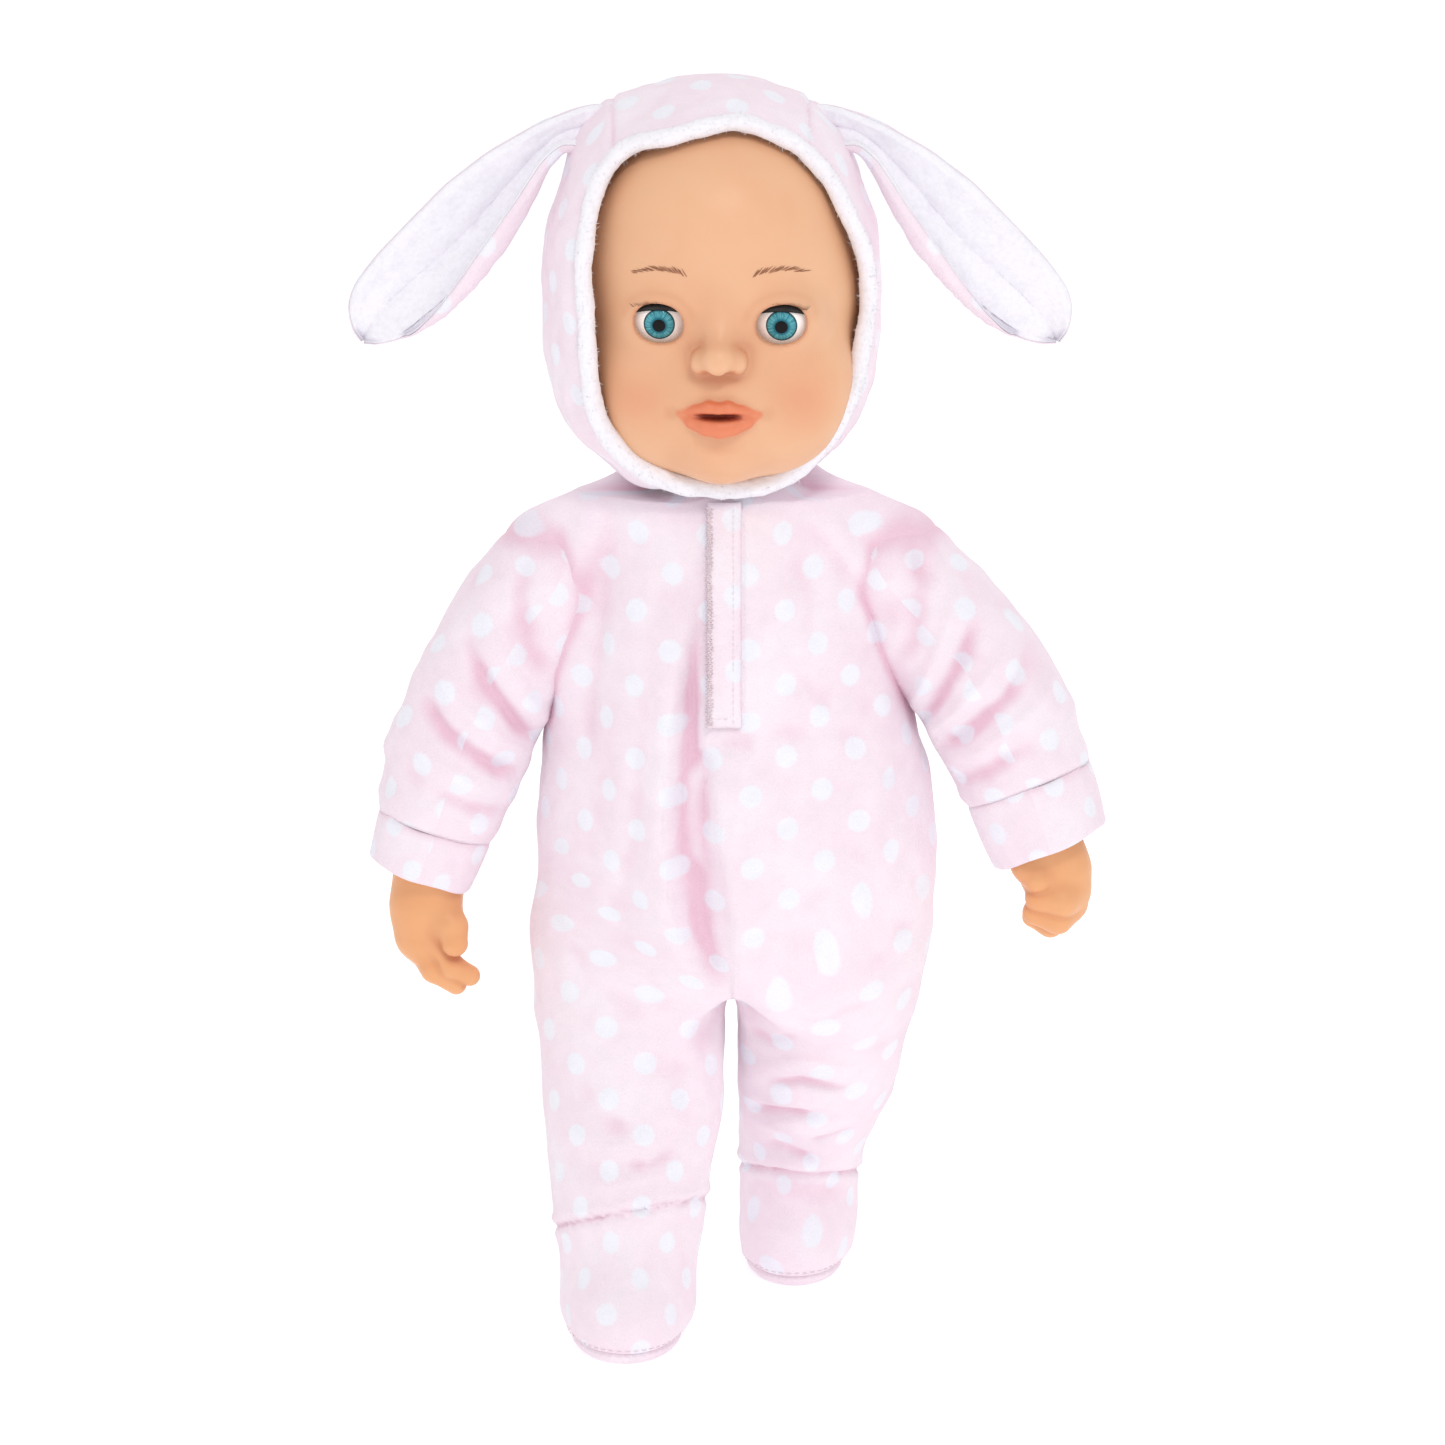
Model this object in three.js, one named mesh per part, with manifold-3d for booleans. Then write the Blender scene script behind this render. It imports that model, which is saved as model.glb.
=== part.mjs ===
// Interactive baby doll: soft body in a hooded romper with lop ears, vinyl head and hands,
// sleeping eyes, and a sound box with its battery door in the back.
// Millimetres, +Z up. The doll faces -Y and its left side is +X. The origin is on the floor,
// at the middle of its footprint. It stands in a stride, right foot forward.
import * as THREE from "three";
import { mergeVertices } from "three/addons/utils/BufferGeometryUtils.js";
import Module from "manifold-3d";

// Driving dimensions
const GAP = 0.35; // running clearance between neighbouring pieces
const CLOTH = 1.6; // velour with its backing
const STRIDE = THREE.MathUtils.degToRad(20); // lean of each leg from the vertical
const HEAD_TURN = THREE.MathUtils.degToRad(-4); // the face looks a little to its right

const HEAD = { x: 2, y: 5, z: 317, rx: 40, ry: 43, rz: 51, wall: 3 };
const HOOD = { x: -2.8, y: 5, z: 322, rx: 50.6, ry: 50, rz: 58, cloth: 3 };
const JOWL = { x: -2, y: 4, z: 292, rx: 47, ry: 44.5, rz: 38, hem: 262.6 }; // hood under the chin
const OPENING = { x: 1, z: 318.8, rx: 40.6, rz: 55.5, trim: 2.6 };
const NECK = { x: 1, y: 5, z: 262 };
const EYE = { x: 17.8, y: -30, z: -4, r: 8.6, lid: 9.2, socket: 9.6, iris: 5.1 };
const EAR = { sheet: 2.8, z: 366, right: -37.5, left: 30.2 }; // the seam's middle on the hood
// Outline of an ear, outward and upward from the middle of its seam
const EAR_OUTLINE = [
  [4.5, 6.5],
  [16, 3],
  [31, -4.5],
  [44, -14],
  [55, -25],
  [65, -35.5],
  [72, -44.8],
  [76, -53.5],
  [75.5, -60.8],
  [71, -65.7],
  [63, -67.3],
  [53.6, -64.4],
  [44.6, -57],
  [35.7, -48],
  [27.5, -38],
  [20.7, -26.6],
  [15, -15],
  [9.5, -5],
];

const TORSO = { y: 4, depth: 0.7 };
// Half-width of the torso at each height
const TORSO_PROFILE = [
  [40, 100],
  [56, 113],
  [60, 130],
  [60.5, 150],
  [57, 172],
  [54, 192],
  [51.5, 212],
  [46, 230],
  [38, 246],
  [30, 256],
  [24, 262],
];
const SHOULDER = { x: 50, y: 5, z: 228, r: 19.5, wrist: 17.5, length: { right: 99, left: 95 } };
const ARM_WAY = {
  right: new THREE.Vector3(-0.421, -0.12, -0.899).normalize(),
  left: new THREE.Vector3(0.529, -0.177, -0.83).normalize(),
};
const HIP = { x: 27.6, y: 8, z: 113, r: 26.9 };
const ANKLE = { z: 27.3, r: 20 };
const LEG_LEAN = { right: -0.022, left: -0.045 }; // sideways lean of each leg axis
const FOOT = { halfWidth: 21, halfLength: 28.4, height: 27, sole: 3, ahead: 8.7 };
const PANEL = { y: 40.5, z: 181, tilt: THREE.MathUtils.degToRad(5.7), w: 28, h: 35, d: 19.6 };
const BATTERY = { r: 7.1, length: 49.5, pitch: 15.2 };
const SENSOR = { y: -20, z: 166, r: 12, button: 9 };
const PLACKET = { x: 0.6, w: 10, low: 192, high: 250 };

// Materials
const material = (colour, roughness, metalness = 0) =>
  new THREE.MeshStandardMaterial({ color: colour, roughness, metalness });
const VELOUR = [0xf7dde5, 0.95];
const PLUSH = [0xfaf5f3, 1];
const FIBRE = [0xf4f1ea, 1];
const VINYL = [0xf3c096, 0.45];
const WHITE_PLASTIC = [0xf2f2ef, 0.4];
const GREY_PLASTIC = [0x9a9ca0, 0.5];
const STEEL = [0xb9bcc0, 0.35, 0.9];

const wasm = await Module();
wasm.setup();

// A closed geometry as a solid that can be joined and cut
function solid(geometry) {
  const bare = geometry.index ? geometry.toNonIndexed() : geometry.clone();
  bare.deleteAttribute("normal");
  bare.deleteAttribute("uv");
  const merged = mergeVertices(bare, 1e-4);
  return new wasm.Manifold(
    new wasm.Mesh({
      numProp: 3,
      vertProperties: new Float32Array(merged.attributes.position.array),
      triVerts: new Uint32Array(merged.index.array),
    }),
  );
}

function geometryOf(body) {
  const mesh = body.getMesh();
  const geometry = new THREE.BufferGeometry();
  geometry.setAttribute("position", new THREE.BufferAttribute(mesh.vertProperties, 3));
  geometry.setIndex(new THREE.BufferAttribute(mesh.triVerts, 1));
  geometry.computeVertexNormals();
  return geometry;
}

const join = (first, ...rest) =>
  geometryOf(rest.reduce((sum, piece) => sum.add(solid(piece)), solid(first)));
const cut = (first, ...tools) =>
  geometryOf(tools.reduce((left, tool) => left.subtract(solid(tool)), solid(first)));
const common = (first, second) => geometryOf(solid(first).intersect(solid(second)));

// A box between two corners
function box(low, high) {
  const size = high.map((value, i) => value - low[i]);
  const middle = high.map((value, i) => (value + low[i]) / 2);
  return new THREE.BoxGeometry(...size).translate(...middle);
}

function ellipsoid([x, y, z], [rx, ry, rz], around = 14, up = 9) {
  return new THREE.SphereGeometry(1, around, up)
    .rotateX(Math.PI / 2)
    .scale(rx, ry, rz)
    .translate(x, y, z);
}

// A round bar of radius r along "x", "y" or "z" between two stations on that axis
function bar(axis, r, from, to, [x, y, z] = [0, 0, 0], segments = 14) {
  const geometry = new THREE.CylinderGeometry(r, r, to - from, segments);
  geometry.translate(0, (from + to) / 2, 0);
  if (axis === "x") geometry.rotateZ(-Math.PI / 2);
  if (axis === "z") geometry.rotateX(Math.PI / 2);
  return geometry.translate(x, y, z);
}

// A body of revolution about Z through [radius, height] points, from the bottom up
function turned(points, segments = 16) {
  const profile = points.map(([r, z]) => new THREE.Vector2(r, z));
  return new THREE.LatheGeometry(profile, segments).rotateX(Math.PI / 2);
}

// A rounded finger-like pin between two points
function pin(from, to, r, segments = 5) {
  const start = new THREE.Vector3(...from);
  const way = new THREE.Vector3(...to).sub(start);
  const geometry = new THREE.CapsuleGeometry(r, way.length(), 2, segments);
  geometry.translate(0, way.length() / 2, 0);
  const turn = new THREE.Quaternion().setFromUnitVectors(
    new THREE.Vector3(0, 1, 0),
    way.clone().normalize(),
  );
  return geometry.applyQuaternion(turn).translate(...from);
}

function add(group, name, geometry, [colour, roughness, metalness]) {
  const mesh = new THREE.Mesh(geometry, material(colour, roughness, metalness));
  mesh.name = name;
  group.add(mesh);
  return mesh;
}

const sign = (side) => (side === "left" ? 1 : -1);
const doll = new THREE.Group();

// Torso ---------------------------------------------------------------------------------

// Half-width of the romper at a height
function torsoRadius(z) {
  const next = TORSO_PROFILE.findIndex(([, height]) => height >= z);
  const [r1, z1] = TORSO_PROFILE[next];
  const [r0, z0] = TORSO_PROFILE[Math.max(next - 1, 0)];
  return z1 === z0 ? r1 : r0 + ((r1 - r0) * (z - z0)) / (z1 - z0);
}

const chestFront = (z) => TORSO.y - torsoRadius(z) * TORSO.depth;

function torsoForm(inset) {
  const points = TORSO_PROFILE.map(([r, z]) => [r - inset, z]);
  return turned([[0, points[0][1]], ...points, [0, points.at(-1)[1]]], 20)
    .scale(1, TORSO.depth, 1)
    .translate(0, TORSO.y, 0);
}

// The space that an arm sweeps as it turns about the shoulder's X axis
function armSweep(side) {
  const { x: dx } = ARM_WAY[side];
  const outward = Math.abs(dx);
  const down = Math.sqrt(1 - outward * outward);
  const r = SHOULDER.r + 0.6;
  const inner = [];
  for (let i = 0; i <= 4; i += 1) {
    const a = (i / 4) * Math.asin(outward);
    inner.push([r * Math.sin(a), -r * Math.cos(a)]);
  }
  const reach = 125;
  inner.push([down * reach + r * outward, outward * reach - r * down]);
  inner.push([down * reach + r * outward, 90]);
  inner.push([0, 90]);
  return turned(inner, 14)
    .rotateY((sign(side) * Math.PI) / 2)
    .translate(sign(side) * SHOULDER.x, SHOULDER.y, SHOULDER.z);
}

const legRoom = [
  bar("x", HIP.r + 1.4, -70, 70, [0, HIP.y, HIP.z], 16),
  box([-70, -60, 90], [70, HIP.y, HIP.z + HIP.r + 1.1]),
  box([-70, -60, 90], [70, 60, HIP.z + 5]),
];

const panelFrame = new THREE.Matrix4()
  .makeRotationX(PANEL.tilt)
  .setPosition(0, PANEL.y, PANEL.z);
const panelBox = (low, high) => box(low, high).applyMatrix4(panelFrame);
const panelRoom = [
  panelBox([-PANEL.w - 2.5, -2.9, -PANEL.h - 2.5], [PANEL.w + 2.5, 30, PANEL.h + 2.5]),
  panelBox([-PANEL.w - 0.5, -35.4, -PANEL.h - 0.5], [PANEL.w + 0.5, 30, PANEL.h + 0.5]),
];
const sensorRoom = bar("y", SENSOR.r + 0.5, -60, SENSOR.y + 0.5, [0, 0, SENSOR.z]);
const neckRoom = bar("z", 15, 250, 280, [NECK.x, NECK.y, 0], 16);

const torso = new THREE.Group();
doll.add(torso);

add(
  torso,
  "romper_torso",
  cut(
    torsoForm(0),
    cut(torsoForm(CLOTH), box([-70, -60, 90], [70, 60, 100.1])).translate(0, 0, 0.02),
    ...legRoom,
    armSweep("right"),
    armSweep("left"),
    neckRoom,
    ...panelRoom,
  ),
  VELOUR,
);
add(
  torso,
  "torso_stuffing",
  cut(
    torsoForm(CLOTH + GAP + 0.2),
    ...legRoom,
    armSweep("right"),
    armSweep("left"),
    ...panelRoom,
    sensorRoom,
    neckRoom,
    box([-70, -60, 259], [70, 60, 270]),
  ),
  FIBRE,
);
add(
  torso,
  "neck_tie",
  new THREE.TorusGeometry(12.8, 1.1, 6, 18).translate(NECK.x, NECK.y, 263.9),
  WHITE_PLASTIC,
);

// Front placket: a strip sewn along its left edge and closed on a tape
function chestStrip(from, to, [x0, x1], low, high) {
  const steps = 8;
  const outline = new THREE.Shape();
  const heights = Array.from({ length: steps + 1 }, (_, i) => low + ((high - low) * i) / steps);
  heights.forEach((z, i) => {
    const y = chestFront(z) - from;
    if (i === 0) outline.moveTo(y, z);
    else outline.lineTo(y, z);
  });
  [...heights].reverse().forEach((z) => outline.lineTo(chestFront(z) - to, z));
  outline.closePath();
  // The outline is drawn across Y and Z, and its thickness runs along X.
  return new THREE.ExtrudeGeometry(outline, { depth: x1 - x0, bevelEnabled: false })
    .applyMatrix4(new THREE.Matrix4().set(0, 0, 1, x0, 1, 0, 0, 0, 0, 1, 0, 0, 0, 0, 0, 1));
}

const strip = [PLACKET.x - PLACKET.w / 2, PLACKET.x + PLACKET.w / 2];
const tape = [strip[0] + 1.2, strip[1] - 2];
add(torso, "loop_tape", chestStrip(0.3, 1, tape, PLACKET.low + 3, PLACKET.high - 3), PLUSH);
add(torso, "hook_tape", chestStrip(1.3, 2, tape, PLACKET.low + 3, PLACKET.high - 3), PLUSH);
add(torso, "placket_flap", chestStrip(2.3, 4, strip, PLACKET.low, PLACKET.high), VELOUR);

// Belly sensor: a sprung button behind the cloth
add(
  torso,
  "sensor_case",
  cut(
    bar("y", SENSOR.r, SENSOR.y - 11, SENSOR.y, [0, 0, SENSOR.z]),
    bar("y", SENSOR.button + 0.4, SENSOR.y - 20, SENSOR.y - 6.5, [0, 0, SENSOR.z]),
  ),
  GREY_PLASTIC,
);
add(
  torso,
  "sensor_button",
  bar("y", SENSOR.button, SENSOR.y - 13.5, SENSOR.y - 9.5, [0, 0, SENSOR.z]),
  WHITE_PLASTIC,
);

// Sound box, tilted with the slope of the back; its face is at local y = 0
const panel = new THREE.Group();
panel.position.set(0, PANEL.y, PANEL.z);
panel.rotation.x = PANEL.tilt;
torso.add(panel);

const DOOR = { w: 24.7, low: -32, high: 24.5, thick: 2 };
add(
  panel,
  "battery_bay",
  cut(
    box([-PANEL.w, -PANEL.d, -PANEL.h], [PANEL.w, 0, PANEL.h]),
    box([-23.2, -PANEL.d + 2, -30], [23.2, 5, 22.5]),
    box([-DOOR.w - GAP, -DOOR.thick - GAP, DOOR.low - GAP], [DOOR.w + GAP, 5, DOOR.high + GAP]),
    box([-8.5, -4, 27.6], [8.5, 5, 32.6]),
  ),
  WHITE_PLASTIC,
);
add(
  panel,
  "panel_binding",
  cut(
    box([-PANEL.w - 2.2, -2.5, -PANEL.h - 2.2], [PANEL.w + 2.2, 2.2, PANEL.h + 2.2]),
    box([-PANEL.w - 0.4, -5, -PANEL.h - 0.4], [PANEL.w + 0.4, 5, PANEL.h + 0.4]),
  ),
  PLUSH,
);
add(
  panel,
  "battery_door",
  cut(
    box([-DOOR.w, -DOOR.thick, DOOR.low], [DOOR.w, 0, DOOR.high]),
    bar("y", 2.9, -1.3, 2, [7.6, 0, 0], 16),
    bar("y", 1.9, -4, 2, [7.6, 0, 0], 16),
    box([-7, -0.7, 19], [7, 2, 20]),
    box([-7, -0.7, 16.5], [7, 2, 17.5]),
  ),
  WHITE_PLASTIC,
);
add(
  panel,
  "battery_screw",
  cut(
    join(bar("y", 2.5, -1, -0.1, [7.6, 0, 0], 16), bar("y", 1.5, -4.2, -0.9, [7.6, 0, 0], 12)),
    box([5.8, -0.6, -0.35], [9.4, 1, 0.35]),
    box([7.25, -0.6, -1.8], [7.95, 1, 1.8]),
  ),
  STEEL,
);
[-1, 0, 1].forEach((column, i) => {
  const x = column * BATTERY.pitch;
  const low = -28.5;
  add(
    panel,
    `battery_${i + 1}`,
    join(
      bar("z", BATTERY.r, low, low + BATTERY.length, [x, -10.2, 0], 20),
      bar("z", 2.7, low + BATTERY.length - 0.5, low + BATTERY.length + 1, [x, -10.2, 0], 12),
    ),
    [0x3f6f52, 0.35, 0.4],
  );
});
add(panel, "battery_contacts_top", box([-22, -17, 22.33 - 0.1], [22, -3.5, 22.33]), STEEL);
add(panel, "battery_contacts_bottom", box([-22, -17, -29.5], [22, -3.5, -29]), STEEL);
add(
  panel,
  "power_switch",
  join(box([-6, -3.6, 28.1], [1, -1.4, 32.1]), box([-4.5, -1.6, 28.6], [-0.5, 0.9, 31.6])),
  GREY_PLASTIC,
);
add(panel, "circuit_board", box([-24, -23.8, -31], [24, -22.3, 31]), [0x2f7a4a, 0.5]);
add(
  panel,
  "speaker",
  turned(
    [
      [0, -32.6],
      [6, -32.6],
      [14, -31],
      [14, -29],
      [7, -25],
      [0, -25],
    ],
    16,
  ).applyMatrix4(new THREE.Matrix4().makeRotationX(-Math.PI / 2)),
  [0x2c2c2e, 0.6],
);
add(
  panel,
  "sound_box_cover",
  cut(
    box([-PANEL.w, -35, -PANEL.h], [PANEL.w, -PANEL.d - GAP, PANEL.h]),
    box([-PANEL.w + 2, -33, -PANEL.h + 2], [PANEL.w - 2, 0, PANEL.h - 2]),
    bar("y", 2, -40, -30, [0, 0, 0], 12),
    ...[0, 1, 2, 3, 4, 5].map((i) =>
      bar("y", 2, -40, -30, [7 * Math.cos(i * 1.0472), 0, 7 * Math.sin(i * 1.0472)], 12),
    ),
  ),
  WHITE_PLASTIC,
);

// Head ----------------------------------------------------------------------------------

const head = new THREE.Group();
doll.add(head);

const face = new THREE.Group();
face.position.set(HEAD.x, HEAD.y, HEAD.z);
face.rotation.z = HEAD_TURN;
head.add(face);

const skull = (inset) => [HEAD.rx - inset, HEAD.ry - inset, HEAD.rz - inset];

// An eye opening is a rounded slot through the face
function eyeSlot(side) {
  const outline = new THREE.Shape();
  for (let i = 0; i < 16; i += 1) {
    const a = (i / 16) * 2 * Math.PI;
    const c = Math.cos(a);
    const s = Math.sin(a);
    const swell = (Math.abs(c) ** 3 + Math.abs(s) ** 3) ** (-1 / 3);
    const point = [7.3 * swell * c, 6.2 * swell * s];
    if (i === 0) outline.moveTo(...point);
    else outline.lineTo(...point);
  }
  return new THREE.ExtrudeGeometry(outline, { depth: 20, bevelEnabled: false })
    .rotateX(Math.PI / 2)
    .translate(sign(side) * EYE.x, EYE.y, EYE.z);
}

const eyeCentre = (side) => [sign(side) * EYE.x, EYE.y, EYE.z];
const socket = (side) =>
  ellipsoid(eyeCentre(side), [EYE.socket, EYE.socket, EYE.socket], 14, 8);
const headHole = bar("z", 12.8, -60, -20, [NECK.x - HEAD.x, 0, 0], 16);

add(
  face,
  "head_shell",
  cut(
    join(
      ellipsoid([0, 0, 0], skull(0), 20, 12),
      ellipsoid([0, -33, -27], [15, 11, 13], 10, 7),
      ellipsoid([18, -20, -24], [16.5, 16, 16.5], 10, 7),
      ellipsoid([-18, -20, -24], [16.5, 16, 16.5], 10, 7),
      ellipsoid([0, -18, -34], [24, 19, 14], 10, 7),
      ellipsoid([0, -27, -40.8], [13, 11, 10], 10, 7),
      ellipsoid([0, -44.5, -12], [6, 5.5, 5], 8, 6),
    ),
    ellipsoid([0, 0, 0], skull(HEAD.wall), 14, 8),
    ellipsoid([0, -46, -29], [7, 3.4, 1.6], 10, 5),
    socket("right"),
    socket("left"),
    eyeSlot("right"),
    eyeSlot("left"),
    headHole,
  ),
  VINYL,
);
add(
  head,
  "neck_flange",
  turned(
    [
      [0, 252.5],
      [14, 252.5],
      [14, 254.5],
      [10.5, 255.5],
      [10.5, 266],
      [12.2, 268],
      [12.2, 277],
      [0, 277],
    ],
    16,
  ).translate(NECK.x, NECK.y, 0),
  VINYL,
);
add(
  face,
  "mouth_sensor",
  box([-5, -28, -32], [5, -24, -24]),
  GREY_PLASTIC,
);

for (const side of ["right", "left"]) {
  const [ex, ey, ez] = eyeCentre(side);
  add(
    face,
    `eye_case_${side}`,
    common(
      cut(
        bar("y", 12, ey - 1.5, ey + 1.5, [ex, 0, ez], 16),
        bar("y", EYE.socket + 0.3, ey - 5, ey + 5, [ex, 0, ez], 16),
      ),
      ellipsoid([0, 0, 0], skull(HEAD.wall + 1.6), 16, 10),
    ),
    WHITE_PLASTIC,
  );

  // The eye turns about its own centre; the parts below are drawn around that centre.
  const eye = new THREE.Group();
  eye.position.set(ex, ey, ez);
  face.add(eye);
  const ball = (r) => ellipsoid([0, 0, 0], [r, r, r], 14, 8);
  add(
    eye,
    `eyeball_${side}`,
    cut(ball(EYE.r), bar("y", EYE.iris + GAP, -12, -5.6, [0, 0, 0], 14)),
    [0xfbfbf8, 0.15],
  );
  add(eye, `iris_${side}`, bar("y", EYE.iris, -6.4, -5.9, [0, 0, 0], 14), [0x2f8f9e, 0.3]);
  add(
    eye,
    `cornea_${side}`,
    common(ball(EYE.r), bar("y", EYE.iris, -12, -6.7, [0, 0, 0], 14)),
    [0xffffff, 0.05],
  );
  // The lid covers the top of the ball down to a plane through its centre line.
  add(
    eye,
    `eyelid_${side}`,
    cut(
      ball(EYE.lid),
      ball(EYE.r + 0.3),
      box([-10, -10, -10], [10, 10, 0]).rotateX(-0.6),
      box([-10, 3, -10], [10, 12, 12]),
    ),
    VINYL,
  );
  add(
    eye,
    `lashes_${side}`,
    cut(
      bar("x", 10.5, -3.8, 3.8, [0, 0, 0], 28),
      bar("x", 9.65, -6, 6, [0, 0, 0], 28),
      box([-10, -12, -12], [10, 12, 0]).rotateX(-0.42),
      box([-10, -12, 0], [10, 12, 12]).rotateX(-0.52),
      box([-10, -2, -12], [10, 12, 12]),
    ),
    [0x17130f, 0.7],
  );
  add(
    eye,
    `eye_weight_${side}`,
    join(
      bar("x", 2.4, -4, 4, [0, 5, -12.2], 14),
      pin([0, 3.9, -9.9], [0, 5, -12.2], 1.1, 8),
    ),
    STEEL,
  );
}

// Hood: a padded shell open at the face and at the neck, with a plush edge
function hoodForm(inset) {
  const shape = ({ x, y, z, rx, ry, rz }) =>
    ellipsoid([x, y, z], [rx - inset, ry - inset, rz - inset], 20, 12);
  const below = box([-70, -70, 240], [70, 70, JOWL.hem + inset]);
  return cut(join(shape(HOOD), shape(JOWL)), below);
}

// How far forward the hood reaches at a point of its front
function hoodFront(x, z) {
  const reach = (form) => {
    const u = (x - form.x) / form.rx;
    const w = (z - form.z) / form.rz;
    return form.y - form.ry * Math.sqrt(Math.max(1 - u * u - w * w, 0.05));
  };
  return Math.min(reach(HOOD), reach(JOWL));
}

// The plush edge follows the hood's surface around an oval opening
function edgeRing(tube) {
  const ring = new THREE.TorusGeometry(1, 0.1, 6, 24).rotateX(Math.PI / 2);
  const p = ring.attributes.position;
  for (let i = 0; i < p.count; i += 1) {
    const radius = Math.hypot(p.getX(i), p.getZ(i));
    const c = p.getX(i) / radius;
    const s = p.getZ(i) / radius;
    const out = ((radius - 1) / 0.1) * tube;
    const front = hoodFront(OPENING.x + OPENING.rx * c, OPENING.z + OPENING.rz * s);
    p.setXYZ(
      i,
      OPENING.x + (OPENING.rx + out) * c,
      front + (p.getY(i) / 0.1) * tube,
      OPENING.z + (OPENING.rz + out) * s,
    );
  }
  return ring;
}

add(
  head,
  "hood_shell",
  cut(
    hoodForm(0),
    hoodForm(HOOD.cloth),
    bar("y", 1, -60, -6, [0, 0, 0], 24)
      .scale(OPENING.rx, 1, OPENING.rz)
      .translate(OPENING.x, 0, OPENING.z),
    edgeRing(OPENING.trim + GAP),
    bar("z", 20, 250, 290, [NECK.x, NECK.y, 0], 16),
  ),
  VELOUR,
);
add(head, "hood_trim", edgeRing(OPENING.trim), PLUSH);

// Ears: two sheets sewn to the side of the hood, which arch outwards and hang down
function earSheet(side, front, back) {
  const points = EAR_OUTLINE.map(([out, up]) => new THREE.Vector2(sign(side) * out, up));
  return new THREE.ExtrudeGeometry(new THREE.Shape(points), {
    depth: back - front,
    bevelEnabled: false,
  })
    .rotateX(Math.PI / 2)
    .translate(0, back, 0);
}

for (const side of ["right", "left"]) {
  const ear = new THREE.Group();
  ear.position.set(EAR[side], HOOD.y, EAR.z);
  head.add(ear);
  add(ear, `ear_lining_${side}`, earSheet(side, -EAR.sheet - 0.15, -0.15), PLUSH);
  add(ear, `ear_back_${side}`, earSheet(side, 0.15, EAR.sheet + 0.15), VELOUR);
}

// Arms ----------------------------------------------------------------------------------

const down = new THREE.Vector3(0, 0, -1);

// A rounded shoulder and a sleeve that narrows to the wrist, along -Z from the shoulder
function sleeveForm(inset, end, cap = 0) {
  const points = [[0, -end]];
  points.push([SHOULDER.wrist - inset, -end], [SHOULDER.r - inset - 0.3, -end / 2]);
  for (let i = 0; i <= 4; i += 1) {
    const a = (i / 4) * (Math.PI / 2);
    points.push([(SHOULDER.r - inset) * Math.cos(a), (SHOULDER.r - inset) * Math.sin(a) - cap]);
  }
  points[points.length - 1][0] = 0;
  return turned(points, 14);
}

function openHand() {
  return [
    ellipsoid([0, 0, -12], [11.5, 7.2, 14], 10, 7),
    pin([-7.2, -1, -20], [-5.8, -4.5, -30.5], 3),
    pin([-2.6, -1, -22], [-1.6, -5, -33], 3.1),
    pin([2.2, -1, -22], [2.6, -5, -32.5], 3.1),
    pin([6.8, -1, -20], [6.6, -4.5, -29.5], 2.9),
    pin([8.5, -2, -9], [12.6, -7, -19], 3.2),
  ];
}

function fist() {
  return [
    ellipsoid([0, 0, -12], [13.5, 10.5, 13.5], 10, 7),
    pin([-8.5, -6.5, -14], [-8, -8, -19], 3.7),
    pin([-2.8, -8, -14], [-2.6, -9, -21], 3.9),
    pin([3, -8, -14], [2.8, -9, -21], 3.9),
    pin([8.4, -6.5, -14], [8, -8, -18.5], 3.6),
    pin([-11.5, -4, -9], [-3, -12, -12.5], 3.4),
  ];
}

for (const side of ["right", "left"]) {
  const arm = new THREE.Group();
  arm.position.set(sign(side) * SHOULDER.x, SHOULDER.y, SHOULDER.z);
  arm.quaternion.setFromUnitVectors(down, ARM_WAY[side]);
  doll.add(arm);
  const end = SHOULDER.length[side];
  add(
    arm,
    `sleeve_${side}`,
    cut(sleeveForm(0, end), sleeveForm(CLOTH, end + 0.5), box([-30, -30, -end - 2], [30, 30, -end])),
    VELOUR,
  );
  add(arm, `arm_stuffing_${side}`, sleeveForm(CLOTH + GAP + 0.2, end - 41), FIBRE);
  add(
    arm,
    `sleeve_cuff_${side}`,
    cut(
      turned([
        [0, -end - 2.5],
        [19.4, -end - 2.5],
        [20, -end + 2],
        [20.1, -end + 14],
        [0, -end + 14],
      ], 16),
      bar("z", 18.6, -end - 10, -end + 20, [0, 0, 0], 16),
    ),
    VELOUR,
  );
  const bend = side === "right" ? -0.5 : 0.12;
  const hand = (side === "right" ? openHand() : fist()).map((g) =>
    g.rotateY(bend).translate(0, 0, -end + 1),
  );
  const forearm = turned([
    [0, -end - 3],
    [10.5, -end - 3],
    [11.5, -end + 12],
    [13.5, -end + 28],
    [11, -end + 31],
    [11, -end + 34],
    [14, -end + 36],
    [14, -end + 38],
    [0, -end + 38],
  ], 12);
  add(arm, `hand_${side}`, join(forearm, ...hand), VINYL);
}

// Legs ----------------------------------------------------------------------------------

// A rounded thigh that narrows to the ankle, along -Z from the hip
function legForm(inset) {
  const points = [
    [0, -110],
    [ANKLE.r - inset, -110],
    [ANKLE.r - inset, -90],
    [ANKLE.r + 2.5 - inset, -74],
    [HIP.r - 1.4 - inset, -48],
    [HIP.r - inset, -12],
  ];
  for (let i = 0; i <= 4; i += 1) {
    const a = (i / 4) * (Math.PI / 2);
    points.push([(HIP.r - inset) * Math.cos(a), (HIP.r - inset) * Math.sin(a)]);
  }
  points[points.length - 1][0] = 0;
  return turned(points, 14);
}

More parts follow.
